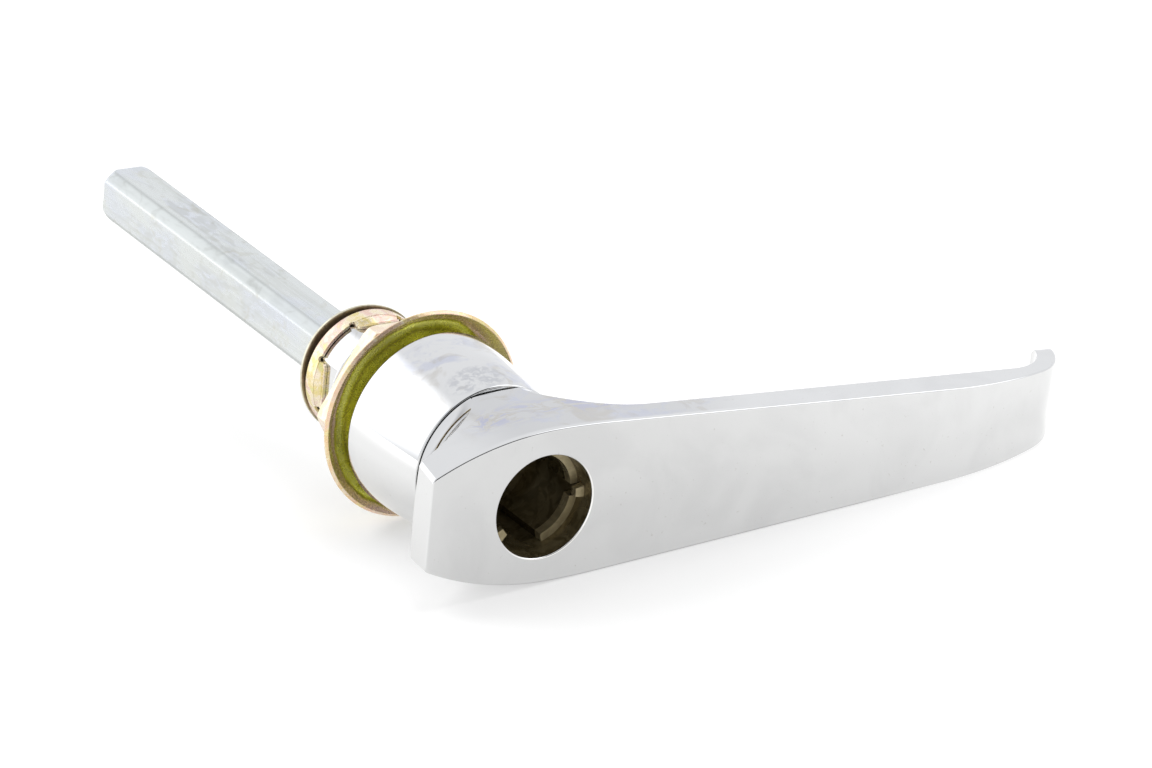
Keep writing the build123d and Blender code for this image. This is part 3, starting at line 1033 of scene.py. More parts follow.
@dataclass
class SquareSpindle:
    """Square bar with turned corners, rounded ends and grooves for the retaining ring."""

    half_flat: float = 5.0
    corner: float = 6.0
    start: float = -17.0
    reach: float = 111.6
    corner_blend: float = 0.34
    end_round: float = 1.1
    turned_length: float = 2.4
    turned_cut: float = 1.5
    end_steps: int = 10
    groove_start: float = 25.55
    groove_end: float = 26.55
    groove_radius: float = 5.6
    columns_per_quarter: int = 48
    turned_rows: int = 7
    wall_rows: int = 9
    face_rows: int = 4

    def build(self) -> bpy.types.Object:
        """Returns the bar's object."""
        skin = Skin("square_spindle")
        angles = full_turn(4 * self.columns_per_quarter)
        wall = bar_radius(angles, self.half_flat, self.corner, self.corner_blend)
        out = about_axis(np.ones_like(angles), 0 * angles, angles)
        turn = np.linspace(0.0, math.pi / 2, self.end_steps + 1)
        depth = self.end_round * (1 - np.cos(turn))[::-1]
        narrow = self.end_round * (1 - np.sin(turn))[::-1]
        near = self.start + depth[::-1]
        turned_start = self.reach - self.turned_length
        straight = np.linspace(turned_start, self.reach - self.end_round, self.turned_rows)
        far = np.concatenate([straight[:-1], self.reach - depth])
        narrow_far = np.concatenate([np.zeros(len(straight) - 1), narrow])
        for place, inset in ((near, narrow[::-1]), (far, narrow_far)):
            radius = np.clip(wall[None, :] - inset[:, None], 0.0, None)
            rows, columns = np.broadcast_arrays(radius, place[:, None])
            rows = np.minimum(rows, self.turned_end(columns))
            skin.add(about_axis(rows, columns, angles), facing=out, ring=True, smooth=True)
        spans = [
            (near.max(), self.groove_start, wall),
            (self.groove_start, self.groove_end, np.minimum(wall, self.groove_radius)),
            (self.groove_end, far.min(), wall),
        ]
        for low, high, radius in spans:
            place = np.linspace(low, high, self.wall_rows)[:, None]
            rows, columns = np.broadcast_arrays(radius[None, :], place)
            skin.add(about_axis(rows, columns, angles), facing=out, ring=True, smooth=True)
        for place, way in ((self.groove_start, 1.0), (self.groove_end, -1.0)):
            pair = np.stack([wall, np.minimum(wall, self.groove_radius)])
            grid = about_axis(pair, np.full_like(pair, place), angles)
            skin.add(grid, facing=np.array([0.0, way, 0.0]), ring=True)
        for place, way in ((self.start, -1.0), (self.reach, 1.0)):
            rim = np.minimum(wall - self.end_round, self.turned_end(np.full_like(wall, place)))
            disc = np.linspace(0.0, 1.0, self.face_rows)[:, None] * rim[None, :]
            grid = about_axis(disc, np.full_like(disc, place), angles)
            skin.add(grid, np.broadcast_to([0.0, way, 0.0], grid.shape), ring=True)
        return skin.build()

    def turned_end(self, place: Array) -> Array:
        """Greatest distance from the axis near the far end, whose corners are turned to an ellipse.

        Args:
            place: Places along the axis.

        Returns:
            corner - cut (1 - sqrt(1 - t^2)), where t runs from 0 to 1 over the turned length.
        """
        share = np.clip((place - self.reach) / self.turned_length + 1.0, 0.0, 1.0)
        return self.corner - self.turned_cut * (1.0 - np.sqrt(1.0 - share**2))


@dataclass
class FixingHardware:
    """Dished washer and thin hexagon nut on the barrel."""

    panel_gap: float = 2.8
    hole: float = 12.15
    rim_radius: float = 19.5
    height: float = 2.4
    sheet: float = 0.8
    bend: float = 2.2
    slope_degrees: float = 50.0
    hole_edge: float = 0.1
    rim_edge: float = 0.16
    back_rim_edge: float = 0.2
    bend_steps: int = 14
    washer_columns: int = 256
    nut_start: float = 6.05
    nut_thickness: float = 3.2
    nut_flats: float = 31.0
    nut_hole: float = 12.05
    nut_chamfer: float = 0.6
    nut_edge: float = 0.14
    nut_corner: float = 0.1
    nut_corner_blend: float = 0.12
    nut_countersink: float = 0.5
    nut_sharp_degrees: float = 24.0
    nut_columns_per_side: int = 40
    nut_rows: int = 5

    def build_washer(self) -> bpy.types.Object:
        """Returns the dished washer's object: a flat floor, a bend and a slope out to the rim."""
        slope = math.radians(self.slope_degrees)
        floor = self.panel_gap + self.height
        drop = self.height - self.bend * (1 - math.cos(slope))
        rim = self.rim_radius - self.sheet * math.sin(slope)
        foot = rim - drop / math.tan(slope) - self.bend * math.sin(slope)
        inner = self.bend * math.tan(slope / 2)
        outer = (self.bend + self.sheet) * math.tan(slope / 2)
        rim_place = self.panel_gap + self.sheet * math.cos(slope)
        section = [
            Corner(self.hole, floor, self.hole_edge),
            Corner(foot + inner, floor, inner, self.bend_steps),
            Corner(rim, self.panel_gap, self.rim_edge),
            Corner(self.rim_radius, rim_place, self.back_rim_edge),
            Corner(foot + outer, floor + self.sheet, outer, self.bend_steps),
            Corner(self.hole, floor + self.sheet, self.hole_edge),
        ]
        skin = Skin("dished_washer")
        revolve(skin, section_runs(section), full_turn(self.washer_columns))
        return skin.build()

    def build_nut(self) -> bpy.types.Object:
        """Returns the nut's object.

        Its wall is at flats / 2 / cos(a), with a folded to within 30 degrees. Its back is cut by a cone
        that falls 30 degrees from the corners, so the wall ends at the smaller of the face's place and
        the place where the cone has the wall's radius.
        """
        skin = Skin("hexagon_nut")
        angles = full_turn(6 * self.nut_columns_per_side)
        ones = np.ones_like(angles)
        folded = np.abs(angles % (math.pi / 3) - math.pi / 6)
        side = self.nut_flats / 2
        corner = side / math.cos(math.pi / 6)
        wall = smooth_min(side / np.cos(folded), (corner - self.nut_corner) * ones, self.nut_corner_blend)
        end = self.nut_start + self.nut_thickness
        slant = math.sqrt(3.0)
        face = np.minimum(wall - self.nut_edge, corner - self.nut_chamfer * slant)
        wall_end = np.minimum(end - self.nut_edge, end - self.nut_chamfer + (corner - wall) / slant)
        low = self.nut_start + self.nut_edge
        place = low + np.linspace(0.0, 1.0, self.nut_rows)[:, None] * (wall_end - low)
        wide = self.nut_hole + self.nut_countersink
        radius = np.broadcast_to(wall, place.shape)
        out = about_axis(ones, 0 * ones, angles)
        skin.add(about_axis(radius, place, angles), facing=out, ring=True)
        rows = [
            (wall, wall_end),
            (face, end),
            (wide, end),
            (self.nut_hole, end - self.nut_countersink),
            (self.nut_hole, self.nut_start + self.nut_countersink),
            (wide, self.nut_start),
            (wall - self.nut_edge, self.nut_start),
            (wall, low),
        ]
        add_rings(skin, rows, angles)
        return skin.build(self.nut_sharp_degrees)


@dataclass
class EndCap:
    """Drawn sheet cap over the barrel's end, whose four tongues bend in on to the barrel's flats."""

    back: float = 23.7
    front: float = 20.7
    sheet: float = 0.55
    radius: float = 11.7
    hole: float = 6.5
    shoulder: float = 0.6
    lip: float = 0.1
    flat: float = 10.05
    tongue_half: float = 4.25
    tongue_reach: float = 1.6
    tongue_bend: float = 0.9
    tongue_corner: float = 0.8
    notch: float = 0.55
    hole_edge: float = 0.12
    inner_shoulder: float = 0.3
    skirt_start: float = 0.7
    tongue_root: float = 0.6
    tongue_round: float = 0.25
    tip_rows: int = 8
    tip_crowding: float = 0.6
    columns: int = 720
    skirt_rows: int = 5
    tongue_columns: int = 13
    tongues: int = 4

    def build(self) -> bpy.types.Object:
        """Returns the cap's object: a turned cup with notches in its rim, and four bent tongues.

        The rim's place is the front, and in a notch of radius n, at the distance s along the rim from
        its middle, it is sqrt(n^2 - s^2) further back.
        """
        skin = Skin("barrel_end_cap")
        angles = full_turn(self.columns)
        ones = np.ones_like(angles)
        inner = self.radius - self.sheet
        start = self.front + self.skirt_start
        top = [
            Corner(self.radius, start),
            Corner(self.radius, self.back, self.shoulder, 6),
            Corner(self.hole, self.back, self.hole_edge, 3),
            Corner(self.hole, self.back - self.sheet, self.hole_edge, 3),
            Corner(inner, self.back - self.sheet, self.inner_shoulder),
            Corner(inner, start),
        ]
        revolve(skin, section_runs(top, closed=False), angles)
        beside = math.asin((self.tongue_half + self.notch) / self.radius)
        quarter = np.abs((angles + math.pi / 4) % (math.pi / 2) - math.pi / 4)
        aside = (quarter - beside) * self.radius
        rim = self.front + np.sqrt(np.clip(self.notch**2 - aside**2, 0.0, None))
        out = about_axis(ones, 0 * ones, angles)
        ahead = np.array([0.0, -1.0, 0.0])
        edges = []
        for radius, way in ((self.radius, 1.0), (inner, -1.0)):
            low = rim + self.lip
            place = start + np.linspace(0.0, 1.0, self.skirt_rows)[:, None] * (low - start)
            wall = about_axis(np.full_like(place, radius), place, angles)
            skin.add(wall, way * np.broadcast_to(out, wall.shape), ring=True)
            first = about_axis((radius - way * self.lip) * ones, rim, angles)
            corner = about_axis(radius * ones, rim, angles)
            skin.add(*corner_strip(wall[-1], corner, first, way * out, ahead, 3), ring=True)
            edges.append(first)
        skin.add(np.stack(edges), facing=ahead, ring=True)
        for turn in range(self.tongues):
            self.add_tongue(skin, turn * 2 * math.pi / self.tongues)
        return skin.build()

    def add_tongue(self, skin: Skin, turn: float) -> None:
        """Adds one tongue: a strip that runs on from the skirt, bends in and lies on the flat.

        Its inner face follows a path (r, y). At the root a point z across it lies at sqrt(r^2 - z^2),
        as the skirt does, and from the bend on at r, as the flat does. Its free corners are round.

        Args:
            skin: The cap's skin.
            turn: The tongue's angle about the axis.
        """
        inner = self.radius - self.sheet
        tip = self.front - self.tongue_reach
        knee = self.front - self.tongue_bend
        mitre = self.sheet * math.tan(math.atan2(inner - self.flat, self.tongue_bend) / 2)
        path = [
            Corner(inner, self.front + self.tongue_root),
            Corner(inner, self.front + mitre, self.tongue_round, 5),
            Corner(self.flat, knee + mitre, self.tongue_round, 5),
            Corner(self.flat, tip),
        ]
        spots = np.concatenate([run[0] for run in section_runs(path, closed=False)])
        keep = np.concatenate([[True], np.linalg.norm(np.diff(spots, axis=0), axis=1) > 1e-6])
        spots = spots[keep]
        end = np.linspace(0.0, 1.0, self.tip_rows)[1:, None] ** self.tip_crowding
        spots = np.concatenate([spots[:-1], (1 - end) * spots[-2] + end * spots[-1]])
        heading = unit(np.gradient(spots, axis=0))
        side = np.stack([-heading[:, 1], heading[:, 0]], axis=1)
        near = np.clip(1 - (spots[:, 1] - tip) / self.tongue_corner, 0.0, 1.0)
        half = self.tongue_half - self.tongue_corner * (1 - np.sqrt(1 - near**2))
        shares = np.linspace(-1.0, 1.0, self.tongue_columns)
        across = np.concatenate([shares, shares[::-1]])[None, :] * half[:, None]
        depth = np.repeat([0.0, self.sheet], self.tongue_columns)[None, :]
        radius = spots[:, :1] + side[:, :1] * depth
        place = spots[:, 1:] + side[:, 1:] * depth
        bent = smooth_step((spots[:, 1:] - knee) / (self.front - knee))
        out = radius * (1 - bent) + np.sqrt(radius**2 - across**2) * bent
        x = out * math.cos(turn) - across * math.sin(turn)
        z = out * math.sin(turn) + across * math.cos(turn)
        grid = np.stack([x, place, z], axis=-1)
        centre = grid.mean(axis=1, keepdims=True)
        skin.add(grid, facing=grid - centre, ring=True)
        for row, way in ((0, 1.0), (-1, -1.0)):
            fan = np.stack([grid[row], np.broadcast_to(centre[row], grid[row].shape)])
            skin.add(fan, facing=np.array([0.0, way, 0.0]), ring=True)


@dataclass
class BowedWasher:
    """Ring of spring sheet bent over one diameter."""

    radius: float = 12.0
    hole: float = 6.3
    start: float = 23.75
    sheet: float = 0.5
    bow: float = 1.2
    edge: float = 0.1
    edge_steps: int = 3
    face_rows: int = 13
    columns: int = 240

    def lift(self, x: Array, z: Array) -> Array:
        """Rise of the bent sheet.

        Args:
            x: Places across the washer.
            z: Places up it.

        Returns:
            A circle's arc over the distance (x - z) / sqrt 2 from the low line.
        """
        bend = (self.radius**2 + self.bow**2) / (2 * self.bow)
        across = (x - z) / math.sqrt(2.0)
        return bend - np.sqrt(bend**2 - across**2)

    def build(self) -> bpy.types.Object:
        """Returns the washer's object: its flat section turned about the axis, then lifted."""
        skin = Skin("bowed_spring_washer")
        section = [
            Corner(self.hole, self.start, self.edge, self.edge_steps),
            Corner(self.radius, self.start, self.edge, self.edge_steps),
            Corner(self.radius, self.start + self.sheet, self.edge, self.edge_steps),
            Corner(self.hole, self.start + self.sheet, self.edge, self.edge_steps),
        ]
        angles = full_turn(self.columns)
        for spots, sides in section_runs(section):
            is_face = len(spots) == 2 and abs(spots[0, 0] - spots[1, 0]) > self.sheet
            if is_face:
                mix = np.linspace(0.0, 1.0, self.face_rows)[:, None]
                spots = (1 - mix) * spots[0] + mix * spots[1]
                sides = np.broadcast_to(sides[0], spots.shape)
            points = about_axis(spots[:, :1], spots[:, 1:], angles[None, :])
            points[..., 1] += self.lift(points[..., 0], points[..., 2])
            facing = about_axis(sides[:, :1], sides[:, 1:], angles[None, :])
            skin.add(points, facing=facing, ring=True, smooth=True)
        return skin.build()


class Num:
    """One value in a shader: sums, products and the rest add their Math nodes."""

    def __init__(self, tree: "Tree", socket: Socket) -> None:
        """Wraps an output socket of the tree."""
        self.tree = tree
        self.socket = socket

    def math(self, operation: str, *values: "Num | float", swap: bool = False) -> "Num":
        """Adds a Math node.

        Args:
            operation: The node's operation.
            values: The other operands.
            swap: Whether this value comes last.

        Returns:
            The node's result.
        """
        operands = [*values, self] if swap else [self, *values]
        made = self.tree.node("ShaderNodeMath", {"operation": operation}, dict(enumerate(operands)))
        return Num(self.tree, made.outputs[0])

    def __add__(self, other: "Num | float") -> "Num":
        """Returns the sum."""
        return self.math("ADD", other)

    def __sub__(self, other: "Num | float") -> "Num":
        """Returns this value less the other."""
        return self.math("SUBTRACT", other)

    def __mul__(self, other: "Num | float") -> "Num":
        """Returns the product."""
        return self.math("MULTIPLY", other)

    def __truediv__(self, other: "Num | float") -> "Num":
        """Returns this value over the other."""
        return self.math("DIVIDE", other)

    def __pow__(self, other: "Num | float") -> "Num":
        """Returns this value to a power."""
        return self.math("POWER", other)

    def __rsub__(self, other: float) -> "Num":
        """Returns a number less this value."""
        return self.math("SUBTRACT", other, swap=True)

    def __rtruediv__(self, other: float) -> "Num":
        """Returns a number over this value."""
        return self.math("DIVIDE", other, swap=True)

    __radd__ = __add__
    __rmul__ = __mul__

    def rise(self, low: float, high: float) -> "Num":
        """Smooth ramp from 0 to 1.

        Args:
            low: Value where it is 0.
            high: Value where it is 1, which may be the smaller one.

        Returns:
            The ramp's value.
        """
        settings = {"interpolation_type": "SMOOTHSTEP"}
        made = self.tree.node("ShaderNodeMapRange", settings, {0: self, 1: low, 2: high})
        return Num(self.tree, made.outputs[0])

    def band(self, low: float, high: float, soft: float) -> "Num":
        """Returns 1 between low and high and 0 outside, with ramps that are soft wide."""
        half = soft / 2
        return self.rise(low - half, low + half) * self.rise(high + half, high - half)


class Tree:
    """Node tree of a material or the world."""

    def __init__(self, tree: bpy.types.NodeTree) -> None:
        """Takes over a tree and empties it."""
        self.tree = tree
        tree.nodes.clear()

    def node(self, kind: str, settings: dict | None = None, links: dict | None = None) -> bpy.types.Node:
        """Adds one node.

        Args:
            kind: The node's type.
            settings: Its own settings, set first. The key stops holds a colour ramp's places and colours.
            links: Values or links of its inputs, by name or number.

        Returns:
            The node.
        """
        made = self.tree.nodes.new(kind)
        for key, value in (settings or {}).items():
            if key == "stops":
                self.set_stops(made.color_ramp, value)
            else:
                setattr(made, key, value)
        for key, value in (links or {}).items():
            source = value.socket if isinstance(value, Num) else value
            if isinstance(source, Socket):
                self.tree.links.new(source, made.inputs[key])
            else:
                made.inputs[key].default_value = source
        return made

    @staticmethod
    def set_stops(ramp: bpy.types.ColorRamp, stops: Sequence[tuple[float, Sequence[float]]]) -> None:
        """Gives a colour ramp its stops.

        Args:
            ramp: The node's ramp.
            stops: Places with their colours, in rising order.
        """
        while len(ramp.elements) < len(stops):
            ramp.elements.new(0.5)
        for element, (place, colour) in zip(ramp.elements, stops):
            element.position = place
            element.color = (*colour, 1.0)

    def spot(self) -> Socket:
        """Returns the surface's own place in millimetres."""
        source = self.node("ShaderNodeTexCoord").outputs["Object"]
        made = self.node("ShaderNodeVectorMath", {"operation": "SCALE"}, {0: source, "Scale": 1 / MM})
        return made.outputs[0]

    def parts(self, vector: Socket) -> list[Num]:
        """Returns a vector's three parts."""
        made = self.node("ShaderNodeSeparateXYZ", links={0: vector})
        return [Num(self, socket) for socket in made.outputs]

    def stretch(self, vector: Socket, factors: Sequence[float]) -> Socket:
        """Returns a vector multiplied part by part."""
        made = self.node("ShaderNodeVectorMath", {"operation": "MULTIPLY"}, {0: vector, 1: factors})
        return made.outputs[0]

    def noise(self, vector: Socket, size: float, detail: float = 3.0, warp: float = 0.0) -> Num:
        """Adds a noise texture.

        Args:
            vector: Place in millimetres.
            size: Size of its blots, in millimetres.
            detail: How many finer layers it has.
            warp: How far it is distorted.

        Returns:
            The noise, mostly between 0.3 and 0.7.
        """
        links = {"Vector": vector, "Scale": 1.0 / size, "Detail": detail, "Distortion": warp}
        return Num(self, self.node("ShaderNodeTexNoise", links=links).outputs[0])

    def ramp(self, value: Num, stops: Sequence[tuple[float, Sequence[float]]]) -> Socket:
        """Returns the colour that a ramp gives for a value."""
        return self.node("ShaderNodeValToRGB", {"stops": stops}, {0: value}).outputs[0]

    def mix(self, factor: Any, first: Any, second: Any) -> Socket:
        """Mixes two colours.

        Args:
            factor: Share of the second.
            first: Link or three numbers.
            second: Link or three numbers.

        Returns:
            The mixed colour.
        """
        first, second = [(*c, 1.0) if isinstance(c, tuple) else c for c in (first, second)]
        links = {0: factor, 6: first, 7: second}
        return self.node("ShaderNodeMix", {"data_type": "RGBA"}, links).outputs[2]

    def bump(self, height: Num, depth: float) -> Socket:
        """Returns a normal pushed by a height from 0 to 1 that stands for depth millimetres."""
        return self.node("ShaderNodeBump", links={"Distance": depth * MM, "Height": height}).outputs[0]

    def surface(self, constants: dict, varying: dict) -> None:
        """Ends a material's tree in a Principled shader.

        Args:
            constants: Socket values that are the same all over.
            varying: Socket links.
        """
        shader = self.node("ShaderNodeBsdfPrincipled", links={**constants, **varying})
        self.node("ShaderNodeOutputMaterial", links={"Surface": shader.outputs[0]})


Colour = tuple[float, float, float]
Way = tuple[float, float, float]


class Finish:
    """A material's recipe."""

    label = "finish"

    def paint(self, tree: Tree) -> None:
        """Adds the material's nodes.

        Args:
            tree: The material's tree.
        """
        raise NotImplementedError

    def material(self) -> bpy.types.Material:
        """Returns a new material with this finish."""
        made = bpy.data.materials.new(self.label)
        made.use_nodes = True
        self.paint(Tree(made.node_tree))
        return made


@dataclass(frozen=True)
class MirrorChrome(Finish):
    """Polished chrome with oil, smears and painted light, and unplated metal with painted shade in the lock
    bore.
    """

    label: str = "mirror_chrome"
    colour: Colour = (0.668, 0.67, 0.668)
    haze: Colour = (0.55, 0.552, 0.555)
    blue: Colour = (0.51, 0.53, 0.62)
    # The next colour is the painted highlight on the bore's rim.
    brown: Colour = (0.48, 0.45, 0.40)
    edge: Colour = (0.96, 0.95, 0.92)
    # The next colour is painted shade on a crescent of the hub.
    crescent_shade: Colour = (0.35, 0.35, 0.35)
    smear: Colour = (0.44, 0.45, 0.48)
    smudge: Colour = (0.44, 0.45, 0.57)
    speck: Colour = (0.40, 0.38, 0.34)
    # The next two colours are the bore's: a dark one, partly unplated metal and partly painted shade, and a
    # lighter tone that also paints a highlight on the ledge.
    bore: Colour = (0.105, 0.08, 0.035)
    bore_tone_and_highlight: Colour = (0.37, 0.31, 0.18)
    bore_radius: float = 9.58
    bore_front: float = -37.2
    bore_floor: float = -17.0
    slot_radius: float = 11.3
    ledge_end: float = -31.0
    ledge_radius: float = 9.2
    highlight_rim_inside: float = 9.53
    highlight_rim_outside: float = 9.79
    highlight_rim_front: float = -37.14
    shaded_crescent_start: float = -19.8
    shaded_crescent_radius_squared: tuple[float, float] = (262.0, 250.0)

    def paint(self, tree: Tree) -> None:
        """Mixes haze, oil, smears and painted light over the chrome, and oily metal with painted shade in the
        bore.

        Args:
            tree: The material's tree.
        """
        spot = tree.spot()
        x, y, z = tree.parts(spot)
        cloud = tree.noise(spot, 14.0, 4.0, 0.6)
        fine = tree.noise(spot, 2.6, 6.0, 1.2)
        colour = tree.mix(cloud.rise(0.42, 0.72) * 0.3, self.colour, self.haze)
        colour, oil = self.oil(tree, spot, fine, colour)
        colour = self.streak(tree, spot, colour)
        inside = (x * x + z * z) ** 0.5
        # Painted shade: the bore's inside gets a dark colour, partly unplated metal and partly the shade of
        # the deep bore.
        bore = self.unplated_and_shade_share(inside, y)
        # Painted highlight: the ledge's top is lightened where light falls on it.
        ledge_highlight = inside.rise(self.ledge_radius + 0.07, self.ledge_radius)
        ledge_highlight = ledge_highlight * y.rise(self.ledge_end + 0.1, self.ledge_end)
        unplated_and_shade = tree.mix(fine.rise(0.4, 0.62) * 0.3 + ledge_highlight * 0.7, self.bore, self.bore_tone_and_highlight)
        colour = tree.mix(bore, colour, unplated_and_shade)
        # Painted highlight: a near-white band on the lower right of the bore's rounded rim.
        rim = inside.band(self.highlight_rim_inside, self.highlight_rim_outside, 0.06)
        rim = rim * y.rise(self.highlight_rim_front + 0.06, self.highlight_rim_front) * (x - z).rise(-3.0, 7.0)
        colour = tree.mix(rim, colour, self.edge)
        specks = tree.noise(spot, 0.7, 2.0).rise(0.71, 0.78)
        colour = tree.mix(specks * 0.3, colour, self.speck)
        rough = 0.045 + cloud.rise(0.45, 0.75) * 0.05 + oil * 0.09 + bore * 0.22
        skin = tree.noise(spot, 9.0, 2.0) * 0.8 + tree.noise(spot, 1.2, 2.0) * 0.06
        varying = {"Base Color": colour, "Roughness": rough, "Normal": tree.bump(skin, 0.003)}
        tree.surface({}, {**varying, "Metallic": 1.0 - bore * 0.45})

    def oil(self, tree: Tree, spot: Socket, fine: Num, colour: Any) -> tuple[Any, Num]:
        """Lays oil on the upper side: haze on the hub, blue blots, brown stains and a grey smear.

        Blots and stains lie where a distorted noise is high. They are faded in over the upper side by z,
        and by x and y to the hub and the housing. The crescent behind the hub's flat top is painted darker:
        painted shade in place of a bright reflection.

        Args:
            tree: The material's tree.
            spot: Place in millimetres.
            fine: Fine noise.
            colour: Colour under the oil.

        Returns:
            The new colour, and how oily the surface is.
        """
        x, y, z = tree.parts(spot)
        upper = z.rise(4.0, 10.0) * x.rise(-16.0, -4.0) * x.rise(46.0, 24.0) * y.rise(-37.0, -36.0)
        colour = tree.mix(upper * y.rise(-19.5, -21.0) * 0.9, colour, self.haze)
        # Painted shade: the crescent behind the hub's flat top is painted darker, in place of a reflection.
        start = self.shaded_crescent_start
        shaded_crescent = x.rise(-5.0, -9.0) * z.rise(1.5, 4.0) * z.rise(14.0, 12.0) * y.rise(start, start - 0.2)
        shaded_crescent = shaded_crescent * y.rise(-27.0, -25.0) * (x * x + z * z).rise(*self.shaded_crescent_radius_squared)
        colour = tree.mix(shaded_crescent * 0.85, colour, self.crescent_shade)
        along = tree.noise(tree.stretch(spot, (0.6, 1.0, 1.0)), 7.0, 6.0, 0.8)
        blot = (along * 0.7 + fine * 0.3).rise(0.49, 0.63) * upper * y.rise(-0.5, -4.0)
        colour = tree.mix(blot * 0.7, colour, self.blue)
        stain = tree.noise(spot, 6.5, 5.0, 1.0).rise(0.5, 0.64) * upper
        colour = tree.mix(stain * 0.5, colour, self.brown)
        grain = tree.noise(spot, 1.1, 4.0, 0.4).rise(0.35, 0.6) * upper
        across, behind = x + 2.0, y + 16.0
        smear = (across * across * 0.03 + behind * behind * 0.08).rise(1.2, 0.6) * grain
        return tree.mix(smear * 0.6, colour, self.smear), blot + stain

    def streak(self, tree: Tree, spot: Socket, colour: Any) -> Socket:
        """Lays a brown and blue streak along the middle of the hub's flat top.

        Args:
            tree: The material's tree.
            spot: Place in millimetres.
            colour: Colour under the streak.

        Returns:
            The new colour.
        """
        x, y, z = tree.parts(spot)
        mark = tree.noise(tree.stretch(spot, (0.5, 1.0, 1.0)), 2.6, 6.0, 1.2)
        patch = x.rise(-13.0, -8.0) * x.rise(26.0, 18.0) * y.band(-31.5, -26.5, 5.0) * z.rise(9.0, 12.0)
        colour = tree.mix(mark.band(0.46, 0.5, 0.04) * patch * 0.6, colour, self.brown)
        return tree.mix(mark.rise(0.49, 0.56) * patch * 0.85, colour, self.smudge)

    def unplated_and_shade_share(self, inside: Num, y: Num) -> Num:
        """Share of unplated metal and painted shade: 1 inside the bore, and in its cam slot behind the ledge.

        Args:
            inside: Distance from the axis.
            y: Place along the axis.

        Returns:
            The share, from 0 to 1.
        """
        bore = inside.rise(self.bore_radius + 0.03, self.bore_radius - 0.03)
        bore = bore * y.rise(self.bore_front, self.bore_front + 0.12)
        slot = inside.rise(self.slot_radius + 0.1, self.slot_radius)
        slot = slot * y.rise(self.ledge_end - 0.3, self.ledge_end - 0.2)
        return bore.math("MAXIMUM", slot) * y.rise(self.bore_floor + 0.2, self.bore_floor)


@dataclass(frozen=True)
class ClearZinc(Finish):
    """Pale zinc plating on a drawn bar, with streaks along it and darker blotches."""

    label: str = "clear_zinc"
    colour: Colour = (0.65, 0.675, 0.665)
    cool: Colour = (0.63, 0.66, 0.71)
    dark: Colour = (0.50, 0.505, 0.46)
    warm: Colour = (0.55, 0.53, 0.45)
    turned: Colour = (0.48, 0.50, 0.49)
    corner_radius_squared: tuple[float, float] = (33.8, 36.0)

    def paint(self, tree: Tree) -> None:
        """Mixes cool clouds, long streaks and blotches, which are thickest towards the bar's far half.

        Args:
            tree: The material's tree.
        """
        spot = tree.spot()
        x, y, z = tree.parts(spot)
        streak = tree.noise(tree.stretch(spot, (1.0, 0.03, 1.0)), 1.1, 3.0)
        cloud = tree.noise(tree.stretch(spot, (1.0, 0.35, 1.0)), 6.0, 4.0, 0.8)
        fine = tree.noise(tree.stretch(spot, (1.0, 0.4, 1.0)), 1.3, 5.0, 0.6)
        colour = tree.mix(cloud.rise(0.42, 0.68), self.colour, self.cool)
        colour = tree.mix(streak.rise(0.45, 0.7) * 0.3, colour, self.dark)
        where = y.band(48.0, 104.0, 26.0) * (0.35 + cloud)
        blotch = (fine * 0.6 + cloud * 0.4).rise(0.47, 0.6) * where
        colour = tree.mix(blotch * 0.45, colour, self.dark)
        rust = tree.noise(spot, 3.4, 5.0, 1.0).rise(0.57, 0.69)
        colour = tree.mix(rust * 0.3, colour, self.warm)
        bare = (x * x + z * z).rise(*self.corner_radius_squared)
        colour = tree.mix(bare * 0.8, colour, self.turned)
        rough = 0.23 + streak.rise(0.4, 0.7) * 0.1 + blotch * 0.12 + rust * 0.1 + bare * 0.2
        normal = tree.bump(streak * 0.7 + fine * 0.3, 0.012)
        tree.surface({"Metallic": 1.0}, {"Base Color": colour, "Roughness": rough, "Normal": normal})


class Sheen(Enum):
    """Where a yellow zinc coat's colours lie."""

    WASHER = "washer"
    NUT = "nut"
    CAP = "cap"


